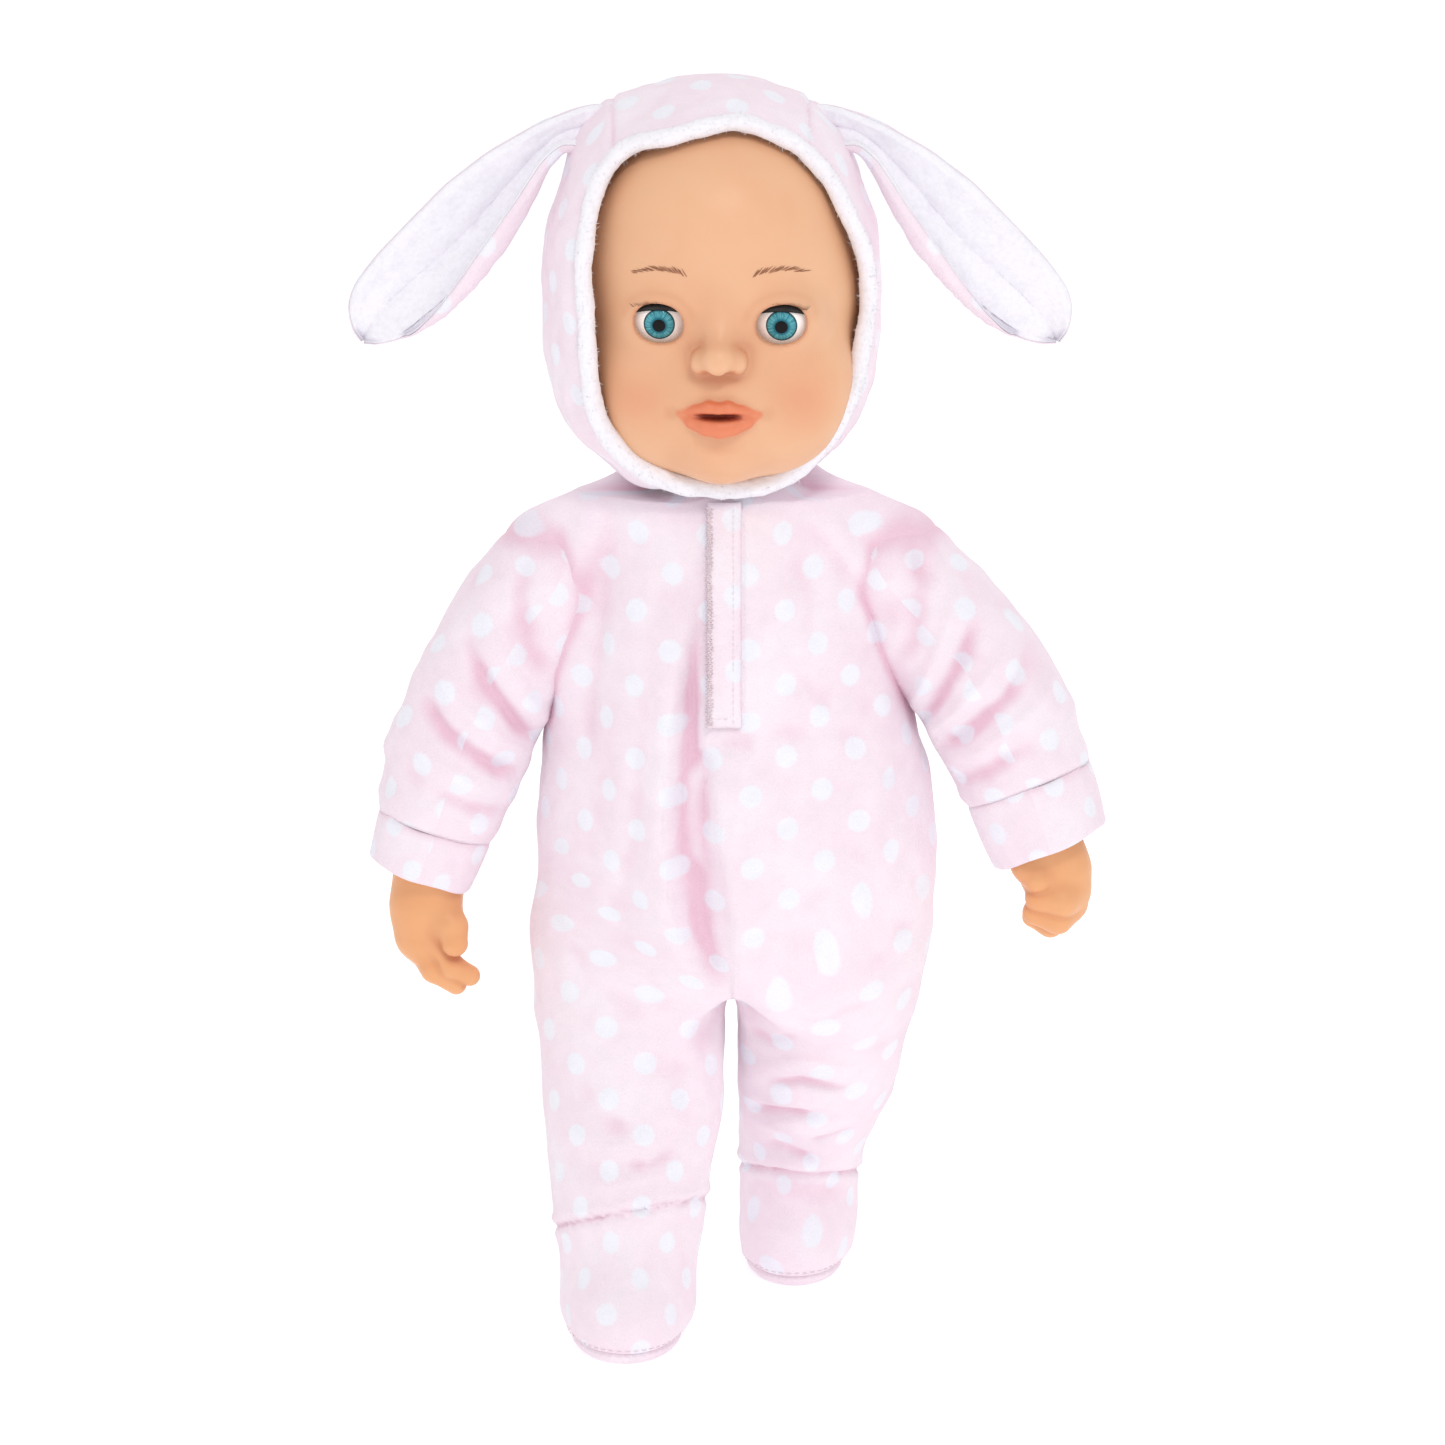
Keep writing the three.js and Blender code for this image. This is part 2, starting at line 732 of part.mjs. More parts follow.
for (const side of ["right", "left"]) {
  const lean = LEG_LEAN[side];
  const swing = side === "left" ? 1 : -1;
  const way = new THREE.Vector3(lean, swing * Math.sin(STRIDE), -Math.cos(STRIDE)).normalize();
  const lay = new THREE.Quaternion().setFromUnitVectors(down, way);
  const hip = [sign(side) * HIP.x, HIP.y, HIP.z];
  const legSolid = (inset) => legForm(inset).applyQuaternion(lay).translate(...hip);
  const run = (HIP.z - ANKLE.z) / -way.z;
  const ankle = [hip[0] + way.x * run, hip[1] + way.y * run];
  const mid = [ankle[0], ankle[1] - FOOT.ahead];

  const footForm = (inset, low) =>
    common(
      join(
        ellipsoid(
          [mid[0], mid[1], 8],
          [FOOT.halfWidth - inset, FOOT.halfLength - inset, 20 - inset],
          16,
          8,
        ),
        bar("z", ANKLE.r + 0.4 - inset, 8, 40, [ankle[0], ankle[1], 0], 14),
      ),
      box([-80, -90, low], [80, 90, FOOT.height - inset]),
    );

  add(
    doll,
    `romper_leg_${side}`,
    cut(legSolid(0), legSolid(CLOTH), box([-80, -90, -20], [80, 90, ANKLE.z])),
    VELOUR,
  );
  add(
    doll,
    `bootie_${side}`,
    cut(
      footForm(0, FOOT.sole + GAP),
      footForm(CLOTH, FOOT.sole + GAP + CLOTH),
      bar("z", ANKLE.r - CLOTH, 10, 50, [ankle[0], ankle[1], 0], 14),
    ),
    VELOUR,
  );
  add(
    doll,
    `leg_stuffing_${side}`,
    join(
      cut(legSolid(CLOTH + GAP + 0.2), box([-80, -90, -20], [80, 90, ANKLE.z + 0.3])),
      bar("z", ANKLE.r - CLOTH - 1.3, 8, ANKLE.z + 0.8, [ankle[0], ankle[1], 0], 14),
      footForm(CLOTH + GAP + 0.2, FOOT.sole + GAP + CLOTH + GAP),
    ),
    FIBRE,
  );
  add(
    doll,
    `sole_${side}`,
    turned(
      [
        [0, 0],
        [0.955, 0],
        [1, 1],
        [1, 3],
        [0, 3],
      ],
      20,
    )
      .scale(FOOT.halfWidth - 0.6, FOOT.halfLength - 0.6, 1)
      .translate(mid[0], mid[1], 0),
    PLUSH,
  );
}

export default doll;
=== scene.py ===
"""Looks of the interactive baby doll around its CAD frame.

Lengths are in millimetres until a mesh is made.
"""

import math
from functools import reduce

import bpy
import numpy as np
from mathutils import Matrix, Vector


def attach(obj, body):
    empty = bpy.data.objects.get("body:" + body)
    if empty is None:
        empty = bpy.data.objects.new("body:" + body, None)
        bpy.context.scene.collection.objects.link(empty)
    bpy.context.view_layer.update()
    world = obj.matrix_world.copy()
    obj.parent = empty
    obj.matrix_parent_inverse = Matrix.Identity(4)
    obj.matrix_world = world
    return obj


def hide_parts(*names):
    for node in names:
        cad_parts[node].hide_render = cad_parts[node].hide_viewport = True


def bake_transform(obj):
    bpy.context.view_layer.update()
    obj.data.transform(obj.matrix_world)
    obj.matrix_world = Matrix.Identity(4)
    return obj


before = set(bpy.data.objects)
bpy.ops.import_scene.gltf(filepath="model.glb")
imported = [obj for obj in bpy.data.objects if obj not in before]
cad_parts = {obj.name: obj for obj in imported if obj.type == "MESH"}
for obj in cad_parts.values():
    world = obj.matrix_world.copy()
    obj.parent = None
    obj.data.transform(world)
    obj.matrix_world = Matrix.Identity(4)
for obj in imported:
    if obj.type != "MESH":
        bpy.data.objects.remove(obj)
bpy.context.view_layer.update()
MM = 0.001
SIDES = {"right": -1, "left": 1}

# Sizes that follow the CAD model
HEAD = np.array([2.0, 5.0, 317.0])
HEAD_RADII = np.array([40.0, 43.0, 51.0])
HEAD_TURN = math.radians(-4)
HOOD = (np.array([-3.2, 5.0, 322.0]), np.array([50.2, 50.0, 58.0]))
JOWL = (np.array([-3.4, 4.0, 292.0]), np.array([47.4, 44.5, 38.0]))
HEM_Z = 259.0
OPENING = (1.0, 314.8, 40.8, 53.8)  # x, z, half-width, half-height
EYE = (17.8, -30.0, -4.0)
EYE_R, LID_R = 8.6, 9.25
TORSO_Y, TORSO_DEPTH = 4.0, 0.7
BELLY_SHIFT, BELLY_Z = 4.4, 150.0
# Radii at which the cloth's pattern is wrapped round each part, and half of the trunk's way round
HOOD_ROUND, BINDING_ROUND, LEG_ROUND, SLEEVE_ROUND, TRUNK_HALF = 50.0, 32.0, 25.5, 19.0, 160.0
TORSO_R = [53, 58.5, 60.8, 61, 58.6, 54.8, 52, 46, 38.5, 31, 25]
TORSO_Z = [100, 113, 130, 150, 172, 192, 212, 230, 246, 256, 262]
SHOULDER = np.array([50.0, 5.0, 228.0])
ARM_WAY = {"right": np.array([-0.421, -0.12, -0.899]), "left": np.array([0.529, -0.177, -0.83])}
# Each sleeve: runs and outward bows of its middle line, runs and radii, run of the cuff's seam and of its end
SLEEVES = {
    "right": ([0, 21, 46, 68, 84, 99], [0, 4.9, 6.2, 3.8, 2.0, 0.1],
              [0, 21, 46, 68, 84, 100], [20.3, 21.0, 21.3, 20.2, 17.2, 16.0], 84.0, 99.5),
    "left": ([0, 26, 38, 50, 60, 75, 95], [0.5, 6.0, 7.2, 6.6, 5.2, 3.6, -1.7],
             [0, 26, 50, 60, 75, 95], [20.3, 21.5, 21.3, 20.5, 19.2, 17.9], 75.0, 95.0),
}
HIP, HIP_SHIFT = np.array([27.6, 8.0, 113.0]), 1.0
LEG_WAY = {"right": np.array([-0.022, -0.342, -0.94]), "left": np.array([-0.045, 0.342, -0.94])}
CROTCH = (3.2, 106.0)
SEAT, SEAT_TILT, LEG_BEND = np.array([CROTCH[0], 0, CROTCH[1]]), math.radians(33), 26.0
LEG_RUN = [-12, 0, 12, 36, 53, 70, 87, 99]
LEG_R = {"right": [28.4, 28.8, 28.8, 28.4, 27.0, 24.8, 21.6, 19.0],
         "left": [31.4, 31.8, 31.8, 30.2, 26.8, 21.2, 17.4, 16.9]}
PANEL_Y, PANEL_Z, PANEL_TILT = 40.5, 181.0, math.radians(5.7)
PANEL_W, PANEL_H = 28.0, 35.0
PLACKET = (-4.4, 5.6, 192.0, 250.0)
for way in (*ARM_WAY.values(), *LEG_WAY.values()):
    way /= np.linalg.norm(way)


# Fields ----------------------------------------------------------------------------------
def smin(a, b, k):
    h = np.maximum(k - np.abs(a - b), 0) / k
    return np.minimum(a, b) - h * h * k * 0.25


def smax(a, b, k):
    return -smin(-a, -b, k)


def step(lo, hi, value):
    t = np.clip((value - lo) / (hi - lo), 0, 1)
    return t * t * (3 - 2 * t)


def bell(*terms):
    """1 where all the terms are 0, falling to 0 as they pass 1 or -1."""
    return np.exp(-sum(t * t for t in terms))


def unit(vectors):
    return vectors / np.linalg.norm(vectors, axis=1)[:, None]


def lengths(points):
    """The distance along a polyline at each of its points."""
    return np.concatenate([[0], np.cumsum(np.linalg.norm(np.diff(points, axis=0), axis=1))])


def circle(count):
    """Angles round a full turn."""
    return np.linspace(0, 2 * math.pi, count, endpoint=False)


def pressed(field, x, z, rounds, low, high, share):
    """Points at those places seen from the front, moved back from 60 mm ahead until the field stops them."""
    p = np.stack([x, np.full(len(x), -60.0), z], 1)
    for _ in range(rounds):
        p[:, 1] += np.clip(field(p), low, high) * share
    return p


def ellipsoid(p, centre, radii):
    q = (p - np.asarray(centre, np.float32)) / np.asarray(radii, np.float32)
    k0 = np.sqrt((q * q).sum(-1)) + 1e-6
    q2 = q / np.asarray(radii, np.float32)
    return k0 * (k0 - 1) / (np.sqrt((q2 * q2).sum(-1)) + 1e-9)


def capsule(p, a, b, ra, rb=None):
    a, b = np.asarray(a, np.float32), np.asarray(b, np.float32)
    ba = b - a
    h = np.clip((p - a) @ ba / (ba @ ba), 0, 1)
    rb = ra if rb is None else rb
    return np.linalg.norm(p - a - h[:, None] * ba, axis=1) - (ra + (rb - ra) * h)


def block(p, low, high, r=0.0):
    low, high = np.asarray(low, float), np.asarray(high, float)
    q = np.abs(p - (low + high) / 2) - (high - low) / 2 + r
    return np.linalg.norm(np.maximum(q, 0), axis=1) + np.minimum(q.max(1), 0) - r


def waves(p, size, seed, count=14):
    """Smooth seeded noise of about that feature size, roughly from -1 to 1."""
    rng = np.random.default_rng(seed)
    total = np.zeros(len(p))
    for _ in range(count):
        way = rng.normal(size=p.shape[1])
        way *= 2 * math.pi / size * rng.uniform(0.6, 1.5) / np.linalg.norm(way)
        total += np.sin(p @ way + rng.uniform(0, 6.28))
    return total / math.sqrt(count) * 0.75


def fold(q, points, width, height, soft=0.35):
    """Height at the 2-D places q of a fold along a polyline, which fades at its ends.

    A pair of widths is for the left and the right of the way along it.
    """
    left, right = width if isinstance(width, tuple) else (width, width)
    pts = np.asarray(points, float)
    spans = np.linalg.norm(np.diff(pts, axis=0), axis=1)
    before = np.concatenate([[0], np.cumsum(spans)])
    best = np.full(len(q), 1e9)
    side, along = np.zeros(len(q)), np.zeros(len(q))
    for i, (a, b) in enumerate(zip(pts[:-1], pts[1:])):
        ba = b - a
        h = np.clip((q - a) @ ba / (ba @ ba), 0, 1)
        gap = q - a - h[:, None] * ba
        d = np.linalg.norm(gap, axis=1)
        near = d < best
        best[near] = d[near]
        side[near] = (ba[0] * gap[:, 1] - ba[1] * gap[:, 0])[near]
        along[near] = (before[i] + h * spans[i])[near]
    t = along / before[-1]
    fade = step(0, soft, t) * step(0, soft, 1 - t) if soft else 1
    return height * fade * bell(best / np.where(side > 0, left, right))


def folds(q, table):
    """The sum of the folds of a table of points, width, height and, where it is not the usual one, fade."""
    return sum(fold(q, *row) for row in table)


def mirrored(table):
    """A table of folds for the right side as one for both sides."""
    return [([(s * x, z) for x, z in points], *rest) for s in (-1, 1) for points, *rest in table]


def net(field, low, high, size):
    """Vertices and quads of the zero level of a field, by surface nets, then drawn onto the surface."""
    axes = [np.arange(lo, hi + size, size, dtype=np.float32) for lo, hi in zip(low, high)]
    shape = tuple(len(a) for a in axes)
    points = np.stack(np.meshgrid(*axes, indexing="ij"), -1).reshape(-1, 3)
    value = np.concatenate([field(c) for c in np.array_split(points, 1 + len(points) // 300000)])
    value = value.reshape(shape).astype(np.float32)
    inside = value < 0
    sides = [inside[i:shape[0] - 1 + i, j:shape[1] - 1 + j, k:shape[2] - 1 + k].astype(np.int8)
             for i in (0, 1) for j in (0, 1) for k in (0, 1)]
    full = sum(sides)
    active = (full > 0) & (full < 8)
    cells = np.argwhere(active)
    index = np.full(active.shape, -1)
    index[active] = np.arange(len(cells))
    total, count = np.zeros((len(cells), 3)), np.zeros(len(cells))
    for axis in range(3):
        u, v = [a for a in range(3) if a != axis]
        for du in (0, 1):
            for dv in (0, 1):
                off = np.zeros(3, int)
                off[u], off[v] = du, dv
                a = cells + off
                b = a.copy()
                b[:, axis] += 1
                va, vb = value[tuple(a.T)], value[tuple(b.T)]
                cross = (va < 0) != (vb < 0)
                place = np.tile(off.astype(float), (len(cells), 1))
                place[:, axis] += va / np.where(va == vb, 1, va - vb)
                total[cross] += place[cross]
                count[cross] += 1
    verts = np.asarray(low, float) + size * (cells + total / count[:, None])
    quads = []
    for axis in range(3):
        u, v = [(1, 2), (2, 0), (0, 1)][axis]
        here = [slice(1, n - 1) for n in shape]
        there = list(here)
        here[axis], there[axis] = slice(0, shape[axis] - 1), slice(1, shape[axis])
        low_in, high_in = inside[tuple(here)], inside[tuple(there)]
        for flip in (False, True):
            at = np.argwhere((low_in & ~high_in) if not flip else (~low_in & high_in))
            for other in (u, v):
                at[:, other] += 1
            ring = []
            for du, dv in ((0, 0), (1, 0), (1, 1), (0, 1)):
                cell = at.copy()
                cell[:, u] -= du
                cell[:, v] -= dv
                ring.append(index[tuple(cell.T)])
            quads.append(np.stack(ring if not flip else ring[::-1], 1))
    quads = np.concatenate(quads)
    for _ in range(2):
        verts = drawn(field, verts, size)
    return verts, quads


def slope(field, p, e=0.15):
    out = np.zeros((len(p), 3))
    for axis in range(3):
        d = np.zeros(3)
        d[axis] = e
        out[:, axis] = (field(p + d) - field(p - d)) / (2 * e)
    return out


def drawn(field, p, most):
    """The points moved onto the zero level of the field."""
    g = slope(field, p)
    move = -field(p)[:, None] * g / np.maximum((g * g).sum(1), 0.05)[:, None]
    far = np.linalg.norm(move, axis=1)
    return p + move * np.minimum(1, most / np.maximum(far, 1e-9))[:, None]


def normals(verts, faces):
    a, b, c, d = (verts[faces[:, i]] for i in range(4))
    face = np.cross(c - a, d - b)
    out = np.zeros_like(verts)
    for i in range(4):
        np.add.at(out, faces[:, i], face)
    return out / np.maximum(np.linalg.norm(out, axis=1), 1e-12)[:, None]


def relaxed(verts, faces, rounds, share=1.0):
    """The vertices drawn that many times towards the middle of their neighbours."""
    a, b = faces.ravel(), np.roll(faces, -1, 1).ravel()
    ends, others = np.concatenate([a, b]), np.concatenate([b, a])
    count = np.bincount(ends, minlength=len(verts))[:, None]
    for _ in range(rounds):
        total = np.stack([np.bincount(ends, verts[others, i], len(verts)) for i in range(3)], 1)
        verts = verts + share * (total / count - verts)
    return verts


def hollows(verts, faces, rounds, depth):
    """How far each vertex lies in a hollow of the surface, from 0 to 1 at that depth in mm."""
    return np.clip(((relaxed(verts, faces, rounds) - verts) * normals(verts, faces)).sum(1) / depth, 0, 1)


def smoothing(count):
    """Weights of a smooth moving average."""
    kernel = np.hanning(count)
    return kernel / kernel.sum()


def eased(x, xs, ys, reach=8.0):
    """Linear interpolation with its corners rounded over that reach."""
    return sum(np.interp(x + o, xs, ys) for o in np.linspace(-reach, reach, 9)) / 9


# Meshes ----------------------------------------------------------------------------------
def piece(name, verts, faces, material, uv=None, wrap=None, panel=None, paint=None, shade=None):
    """A mesh object.

    uv gives each vertex its place on the cloth, and wrap is the width after which its first number starts
    again. panel is another set of places and the faces that take it, as a share of 0 or 1. paint holds a
    value per vertex for the material, and shade a normal per vertex.
    """
    data = bpy.data.meshes.new(name)
    data.from_pydata(np.asarray(verts) * MM, [], faces)
    data.materials.append(material)
    if uv is not None:
        loops = np.empty(len(data.loops), np.int32)
        data.loops.foreach_get("vertex_index", loops)
        place = np.asarray(uv, float)[loops]
        if wrap is not None:
            starts = np.empty(len(data.polygons), np.int32)
            totals = np.empty(len(data.polygons), np.int32)
            data.polygons.foreach_get("loop_start", starts)
            data.polygons.foreach_get("loop_total", totals)
            first = np.repeat(place[starts, 0], totals)
            place[:, 0] += wrap * np.round((first - place[:, 0]) / wrap)
        if panel is not None:
            other, chosen = panel[0], np.repeat(panel[1], 4)
            place[chosen] = other[loops][chosen]
        layer = data.uv_layers.new(name="cloth")
        layer.data.foreach_set("uv", (place * MM).astype(np.float32).ravel())
    for key, value in (paint or {}).items():
        layer = data.attributes.new(key, "FLOAT", "POINT")
        layer.data.foreach_set("value", np.asarray(value, np.float32))
    data.shade_smooth()
    if shade is not None:
        data.normals_split_custom_set_from_vertices(shade)
    data.update()
    obj = bpy.data.objects.new(name, data)
    bpy.context.collection.objects.link(obj)
    return obj


def shell(verts, faces, normal, thick):
    """An open surface given a thickness inwards, with its rims closed."""
    used, flat = np.unique(faces, return_inverse=True)
    faces = flat.reshape(faces.shape)
    n = len(used)
    edges = np.concatenate([faces[:, [i, (i + 1) % 4]] for i in range(4)])
    key = edges.min(1) * n + edges.max(1)
    _, first, count = np.unique(key, return_index=True, return_counts=True)
    rim = edges[first[count == 1]]
    walls = np.stack([rim[:, 1], rim[:, 0], rim[:, 0] + n, rim[:, 1] + n], 1)
    out = np.concatenate([verts[used], verts[used] - normal[used] * thick])
    shade = np.concatenate([normal[used], -normal[used]])
    return out, np.concatenate([faces, faces[:, ::-1] + n, walls]), shade, used


def grid(m, n):
    """The row and the column of each cell of a grid, as two lists."""
    return [a.ravel() for a in np.meshgrid(np.arange(m), np.arange(n), indexing="ij")]


def grid_faces(m, n):
    i, j = grid(m - 1, n - 1)
    return np.stack([i * n + j, i * n + j + 1, (i + 1) * n + j + 1, (i + 1) * n + j], 1)


def lofted(rings, close=True):
    """Quads over a stack of rings, each a closed loop of the same count, with a point at each end."""
    m, n = rings.shape[:2]
    i, j = grid(m - 1, n)
    k = (j + 1) % n
    faces = [tuple(f) for f in np.stack([i * n + j, i * n + k, (i + 1) * n + k, (i + 1) * n + j], 1)]
    verts = rings.reshape(-1, 3)
    if close:
        a, b = len(verts), len(verts) + 1
        verts = np.concatenate([verts, rings[0].mean(0)[None], rings[-1].mean(0)[None]])
        faces += [(a, (q + 1) % n, q) for q in range(n)]
        faces += [(b, (m - 1) * n + q, (m - 1) * n + (q + 1) % n) for q in range(n)]
    return verts, faces


def looped(rings, flip=False):
    """Quads over a stack of rings that closes on itself."""
    count = rings.shape[0] * rings.shape[1]
    verts, faces = lofted(np.concatenate([rings, rings[:1]]), close=False)
    return verts[:count], [tuple(i % count for i in f)[:: -1 if flip else 1] for f in faces]


def tube(path, radius, around=8, closed=False):
    """Vertices and faces of a round thread along a path."""
    path = np.asarray(path, float)
    ahead = np.roll(path, -1, 0) - np.roll(path, 1, 0) if closed else np.gradient(path, axis=0)
    ahead /= np.maximum(np.linalg.norm(ahead, axis=1), 1e-9)[:, None]
    up = np.tile([0.31, 0.17, 0.93], (len(path), 1))
    a = np.cross(ahead, up)
    a /= np.maximum(np.linalg.norm(a, axis=1), 1e-9)[:, None]
    b = np.cross(ahead, a)
    t = circle(around)
    r = np.broadcast_to(np.asarray(radius, float), len(path))[:, None, None]
    cos, sin = np.cos(t)[None, :, None], np.sin(t)[None, :, None]
    rings = path[:, None] + r * (cos * a[:, None] + sin * b[:, None])
    return looped(rings) if closed else lofted(rings)


def gathered(parts):
    """Several vertex and face lists as one."""
    verts, faces, base = [], [], 0
    for v, f in parts:
        verts.append(v)
        faces += [tuple(i + base for i in q) for q in f]
        base += len(v)
    return np.concatenate(verts), faces


# Materials -------------------------------------------------------------------------------
class Paint:
    """A node material around one Principled shader."""

    def __init__(self, name, **values):
        self.material = bpy.data.materials.new(name)
        self.material.use_nodes = True
        self.tree = self.material.node_tree
        self.shader = self.tree.nodes["Principled BSDF"]
        for key, value in values.items():
            self.shader.inputs[key.replace("_", " ")].default_value = value

    def node(self, kind, inputs=(), **props):
        made = self.tree.nodes.new("ShaderNode" + kind)
        for key, value in props.items():
            setattr(made, key, value)
        for key, value in dict(inputs).items():
            self.feed(made.inputs[key], value)
        return made

    def feed(self, socket, value):
        if isinstance(value, bpy.types.NodeSocket):
            self.tree.links.new(value, socket)
        else:
            socket.default_value = value

    def math(self, operation, a, b=0.0, c=0.0):
        return self.node("Math", {0: a, 1: b, 2: c}, operation=operation).outputs[0]

    def vector(self, operation, a, b=(0, 0, 0), scale=None):
        made = self.node("VectorMath", {0: a, 1: b}, operation=operation)
        if scale is not None:
            self.feed(made.inputs["Scale"], scale)
        return made.outputs["Value"] if operation in ("LENGTH", "DISTANCE") else made.outputs[0]

    def cloth(self):
        return self.node("UVMap", uv_map="cloth").outputs[0]

    def place(self):
        return self.node("TexCoord").outputs["Object"]

    def noise(self, at, size, detail=2.0, rough=0.5):
        """Noise with features of about that size in mm."""
        return self.node("TexNoise", {"Vector": at, "Scale": 1 / (size * MM), "Detail": detail,
                                      "Roughness": rough}).outputs[0]

    def remap(self, value, lo, hi, to_lo=0.0, to_hi=1.0):
        return self.node("MapRange", {0: value, 1: lo, 2: hi, 3: to_lo, 4: to_hi},
                         interpolation_type="SMOOTHSTEP").outputs[0]

    def mix(self, factor, a, b):
        made = self.node("Mix", data_type="RGBA")
        for i, value in ((0, factor), (6, a), (7, b)):
            self.feed(made.inputs[i], value)
        return made.outputs[2]

    def painted(self, name):
        return self.node("Attribute", attribute_name=name).outputs["Fac"]

    def bump(self, height, distance, strength=1.0, normal=None):
        inputs = {"Height": height, "Distance": distance * MM, "Strength": strength}
        if normal is not None:
            inputs["Normal"] = normal
        return self.node("Bump", inputs).outputs[0]

    def done(self, colour=None, roughness=None, normal=None):
        for key, value in (("Base Color", colour), ("Roughness", roughness), ("Normal", normal)):
            if value is not None:
                self.feed(self.shader.inputs[key], value)
        return self.material


def rgb(r, g, b):
    """A colour of 0-255 screen values as linear light."""
    return tuple((c / 255 / 12.92) if c / 255 <= 0.04045 else ((c / 255 + 0.055) / 1.055) ** 2.4
                 for c in (r, g, b)) + (1.0,)


DOT_PITCH, DOT_R = 15.2, 3.35


def velour(name, pale, deep, dots=True):
    p = Paint(name, Sheen_Weight=0.35, Sheen_Roughness=0.45, Specular_IOR_Level=0.12)
    p.shader.inputs["Sheen Tint"].default_value = rgb(255, 236, 242)
    at = p.cloth()
    fine = p.noise(at, 0.55, 3, 0.6)
    brushed = p.noise(at, 5.0, 3, 0.55)
    broad = p.noise(at, 26.0, 2, 0.5)
    colour = p.mix(p.remap(broad, 0.35, 0.7), deep, pale)
    # Painted shade: the cloth is drawn darker and pinker where painted_shade marks hollows and seams
    colour = p.mix(p.math("MULTIPLY", p.painted("painted_shade"), 0.85), colour, rgb(233, 192, 209))
    if dots:
        drift = p.node("TexNoise", {"Vector": at, "Scale": 1 / (1.3 * MM)}).outputs[1]
        wobble = p.vector("SCALE", p.vector("SUBTRACT", drift, (0.5, 0.5, 0.5)), scale=0.9 * MM)
        turned = p.node("Mapping", {"Vector": p.vector("ADD", at, wobble),
                                    "Rotation": (0, 0, math.radians(44)),
                                    "Scale": (1 / (DOT_PITCH * MM),) * 3}).outputs[0]
        cell = p.vector("SUBTRACT", p.vector("FRACTION", turned), (0.5, 0.5, 0.5))
        away = p.vector("LENGTH", p.vector("MULTIPLY", cell, (1, 1, 0)))
        spot = p.remap(away, (DOT_R - 0.7) / DOT_PITCH, (DOT_R + 0.6) / DOT_PITCH, 0.9, 0)
        # Painted shade: the dots are drawn greyer where painted_shade is high
        dot = p.mix(p.math("MULTIPLY", p.painted("painted_shade"), 0.6), rgb(241, 242, 250), rgb(226, 214, 228))
        colour = p.mix(spot, colour, dot)
    shade = p.remap(p.math("ADD", p.math("MULTIPLY", fine, 0.6), p.math("MULTIPLY", brushed, 0.4)), 0.3, 0.7,
                    0.95, 1.02)
    normal = p.bump(fine, 0.3, 0.6, p.bump(brushed, 0.5, 0.35))
    return p.done(p.vector("SCALE", colour, scale=shade), 0.92, normal)


def plush(name, colour, size=0.9):
    p = Paint(name, Sheen_Weight=0.4, Sheen_Roughness=0.5, Specular_IOR_Level=0.1)
    at = p.place()
    curl = p.noise(at, size * 1.6, 3, 0.6)
    fine = p.noise(at, size * 0.5, 3, 0.6)
    broad = p.noise(at, 9.0, 2)
    shaded = tuple(c * 0.93 for c in colour[:3]) + (1,)
    tint = p.mix(p.remap(p.math("ADD", curl, p.math("MULTIPLY", broad, 0.5)), 0.45, 0.95), shaded, colour)
    # Painted shade: the pile is drawn greyer where painted_shade marks hollows, as in the ears' crease
    tint = p.mix(p.math("MULTIPLY", p.painted("painted_shade"), 0.7), tint, rgb(208, 201, 217))
    normal = p.bump(fine, 0.25, 0.5, p.bump(curl, 0.35, 0.45))
    return p.done(tint, 0.95, normal)


def vinyl(name, base, flush, face=False):
    p = Paint(name, Specular_IOR_Level=0.35, Subsurface_Weight=0.12, Subsurface_Scale=0.004,
              Coat_Weight=0.08, Coat_Roughness=0.35)
    p.shader.inputs["Subsurface Radius"].default_value = (1.0, 0.45, 0.25)
    at = p.place()
    broad = p.noise(at, 18.0, 2)
    colour = p.mix(p.remap(broad, 0.3, 0.75, 0, 0.35), base, flush)
    colour = p.mix(p.math("MULTIPLY", p.painted("shade"), 0.55), colour, rgb(190, 108, 74))
    if face:
        colour = p.mix(p.math("MULTIPLY", p.painted("blush"), 0.4), colour, rgb(222, 138, 104))
        colour = p.mix(p.math("MULTIPLY", p.painted("lip"), 0.85), colour, rgb(226, 122, 84))
        # Painted shade: dark red is painted where mouth_shade marks the mouth's slit
        colour = p.mix(p.painted("mouth_shade"), colour, rgb(142, 54, 36))
    pores = p.noise(at, 0.5, 2, 0.6)
    rough = p.remap(p.noise(at, 6.0, 2), 0.3, 0.7, 0.38, 0.5)
    return p.done(colour, rough, p.bump(pores, 0.04, 0.5))


def moulded(name, colour, rough=0.4, grain=0.35, metal=0.0, depth=0.03):
    p = Paint(name, Specular_IOR_Level=0.45, Metallic=metal)
    at = p.place()
    fine = p.noise(at, grain, 2, 0.6)
    broad = p.noise(at, 12.0, 2)
    dull = tuple(c * 0.9 for c in colour[:3]) + (1,)
    tint = p.mix(p.remap(broad, 0.3, 0.7), dull, colour)
    roughness = p.remap(p.noise(at, 3.0, 3), 0.3, 0.7, rough * 0.85, min(rough * 1.2, 1))
    return p.done(tint, roughness, p.bump(fine, depth, 0.5))


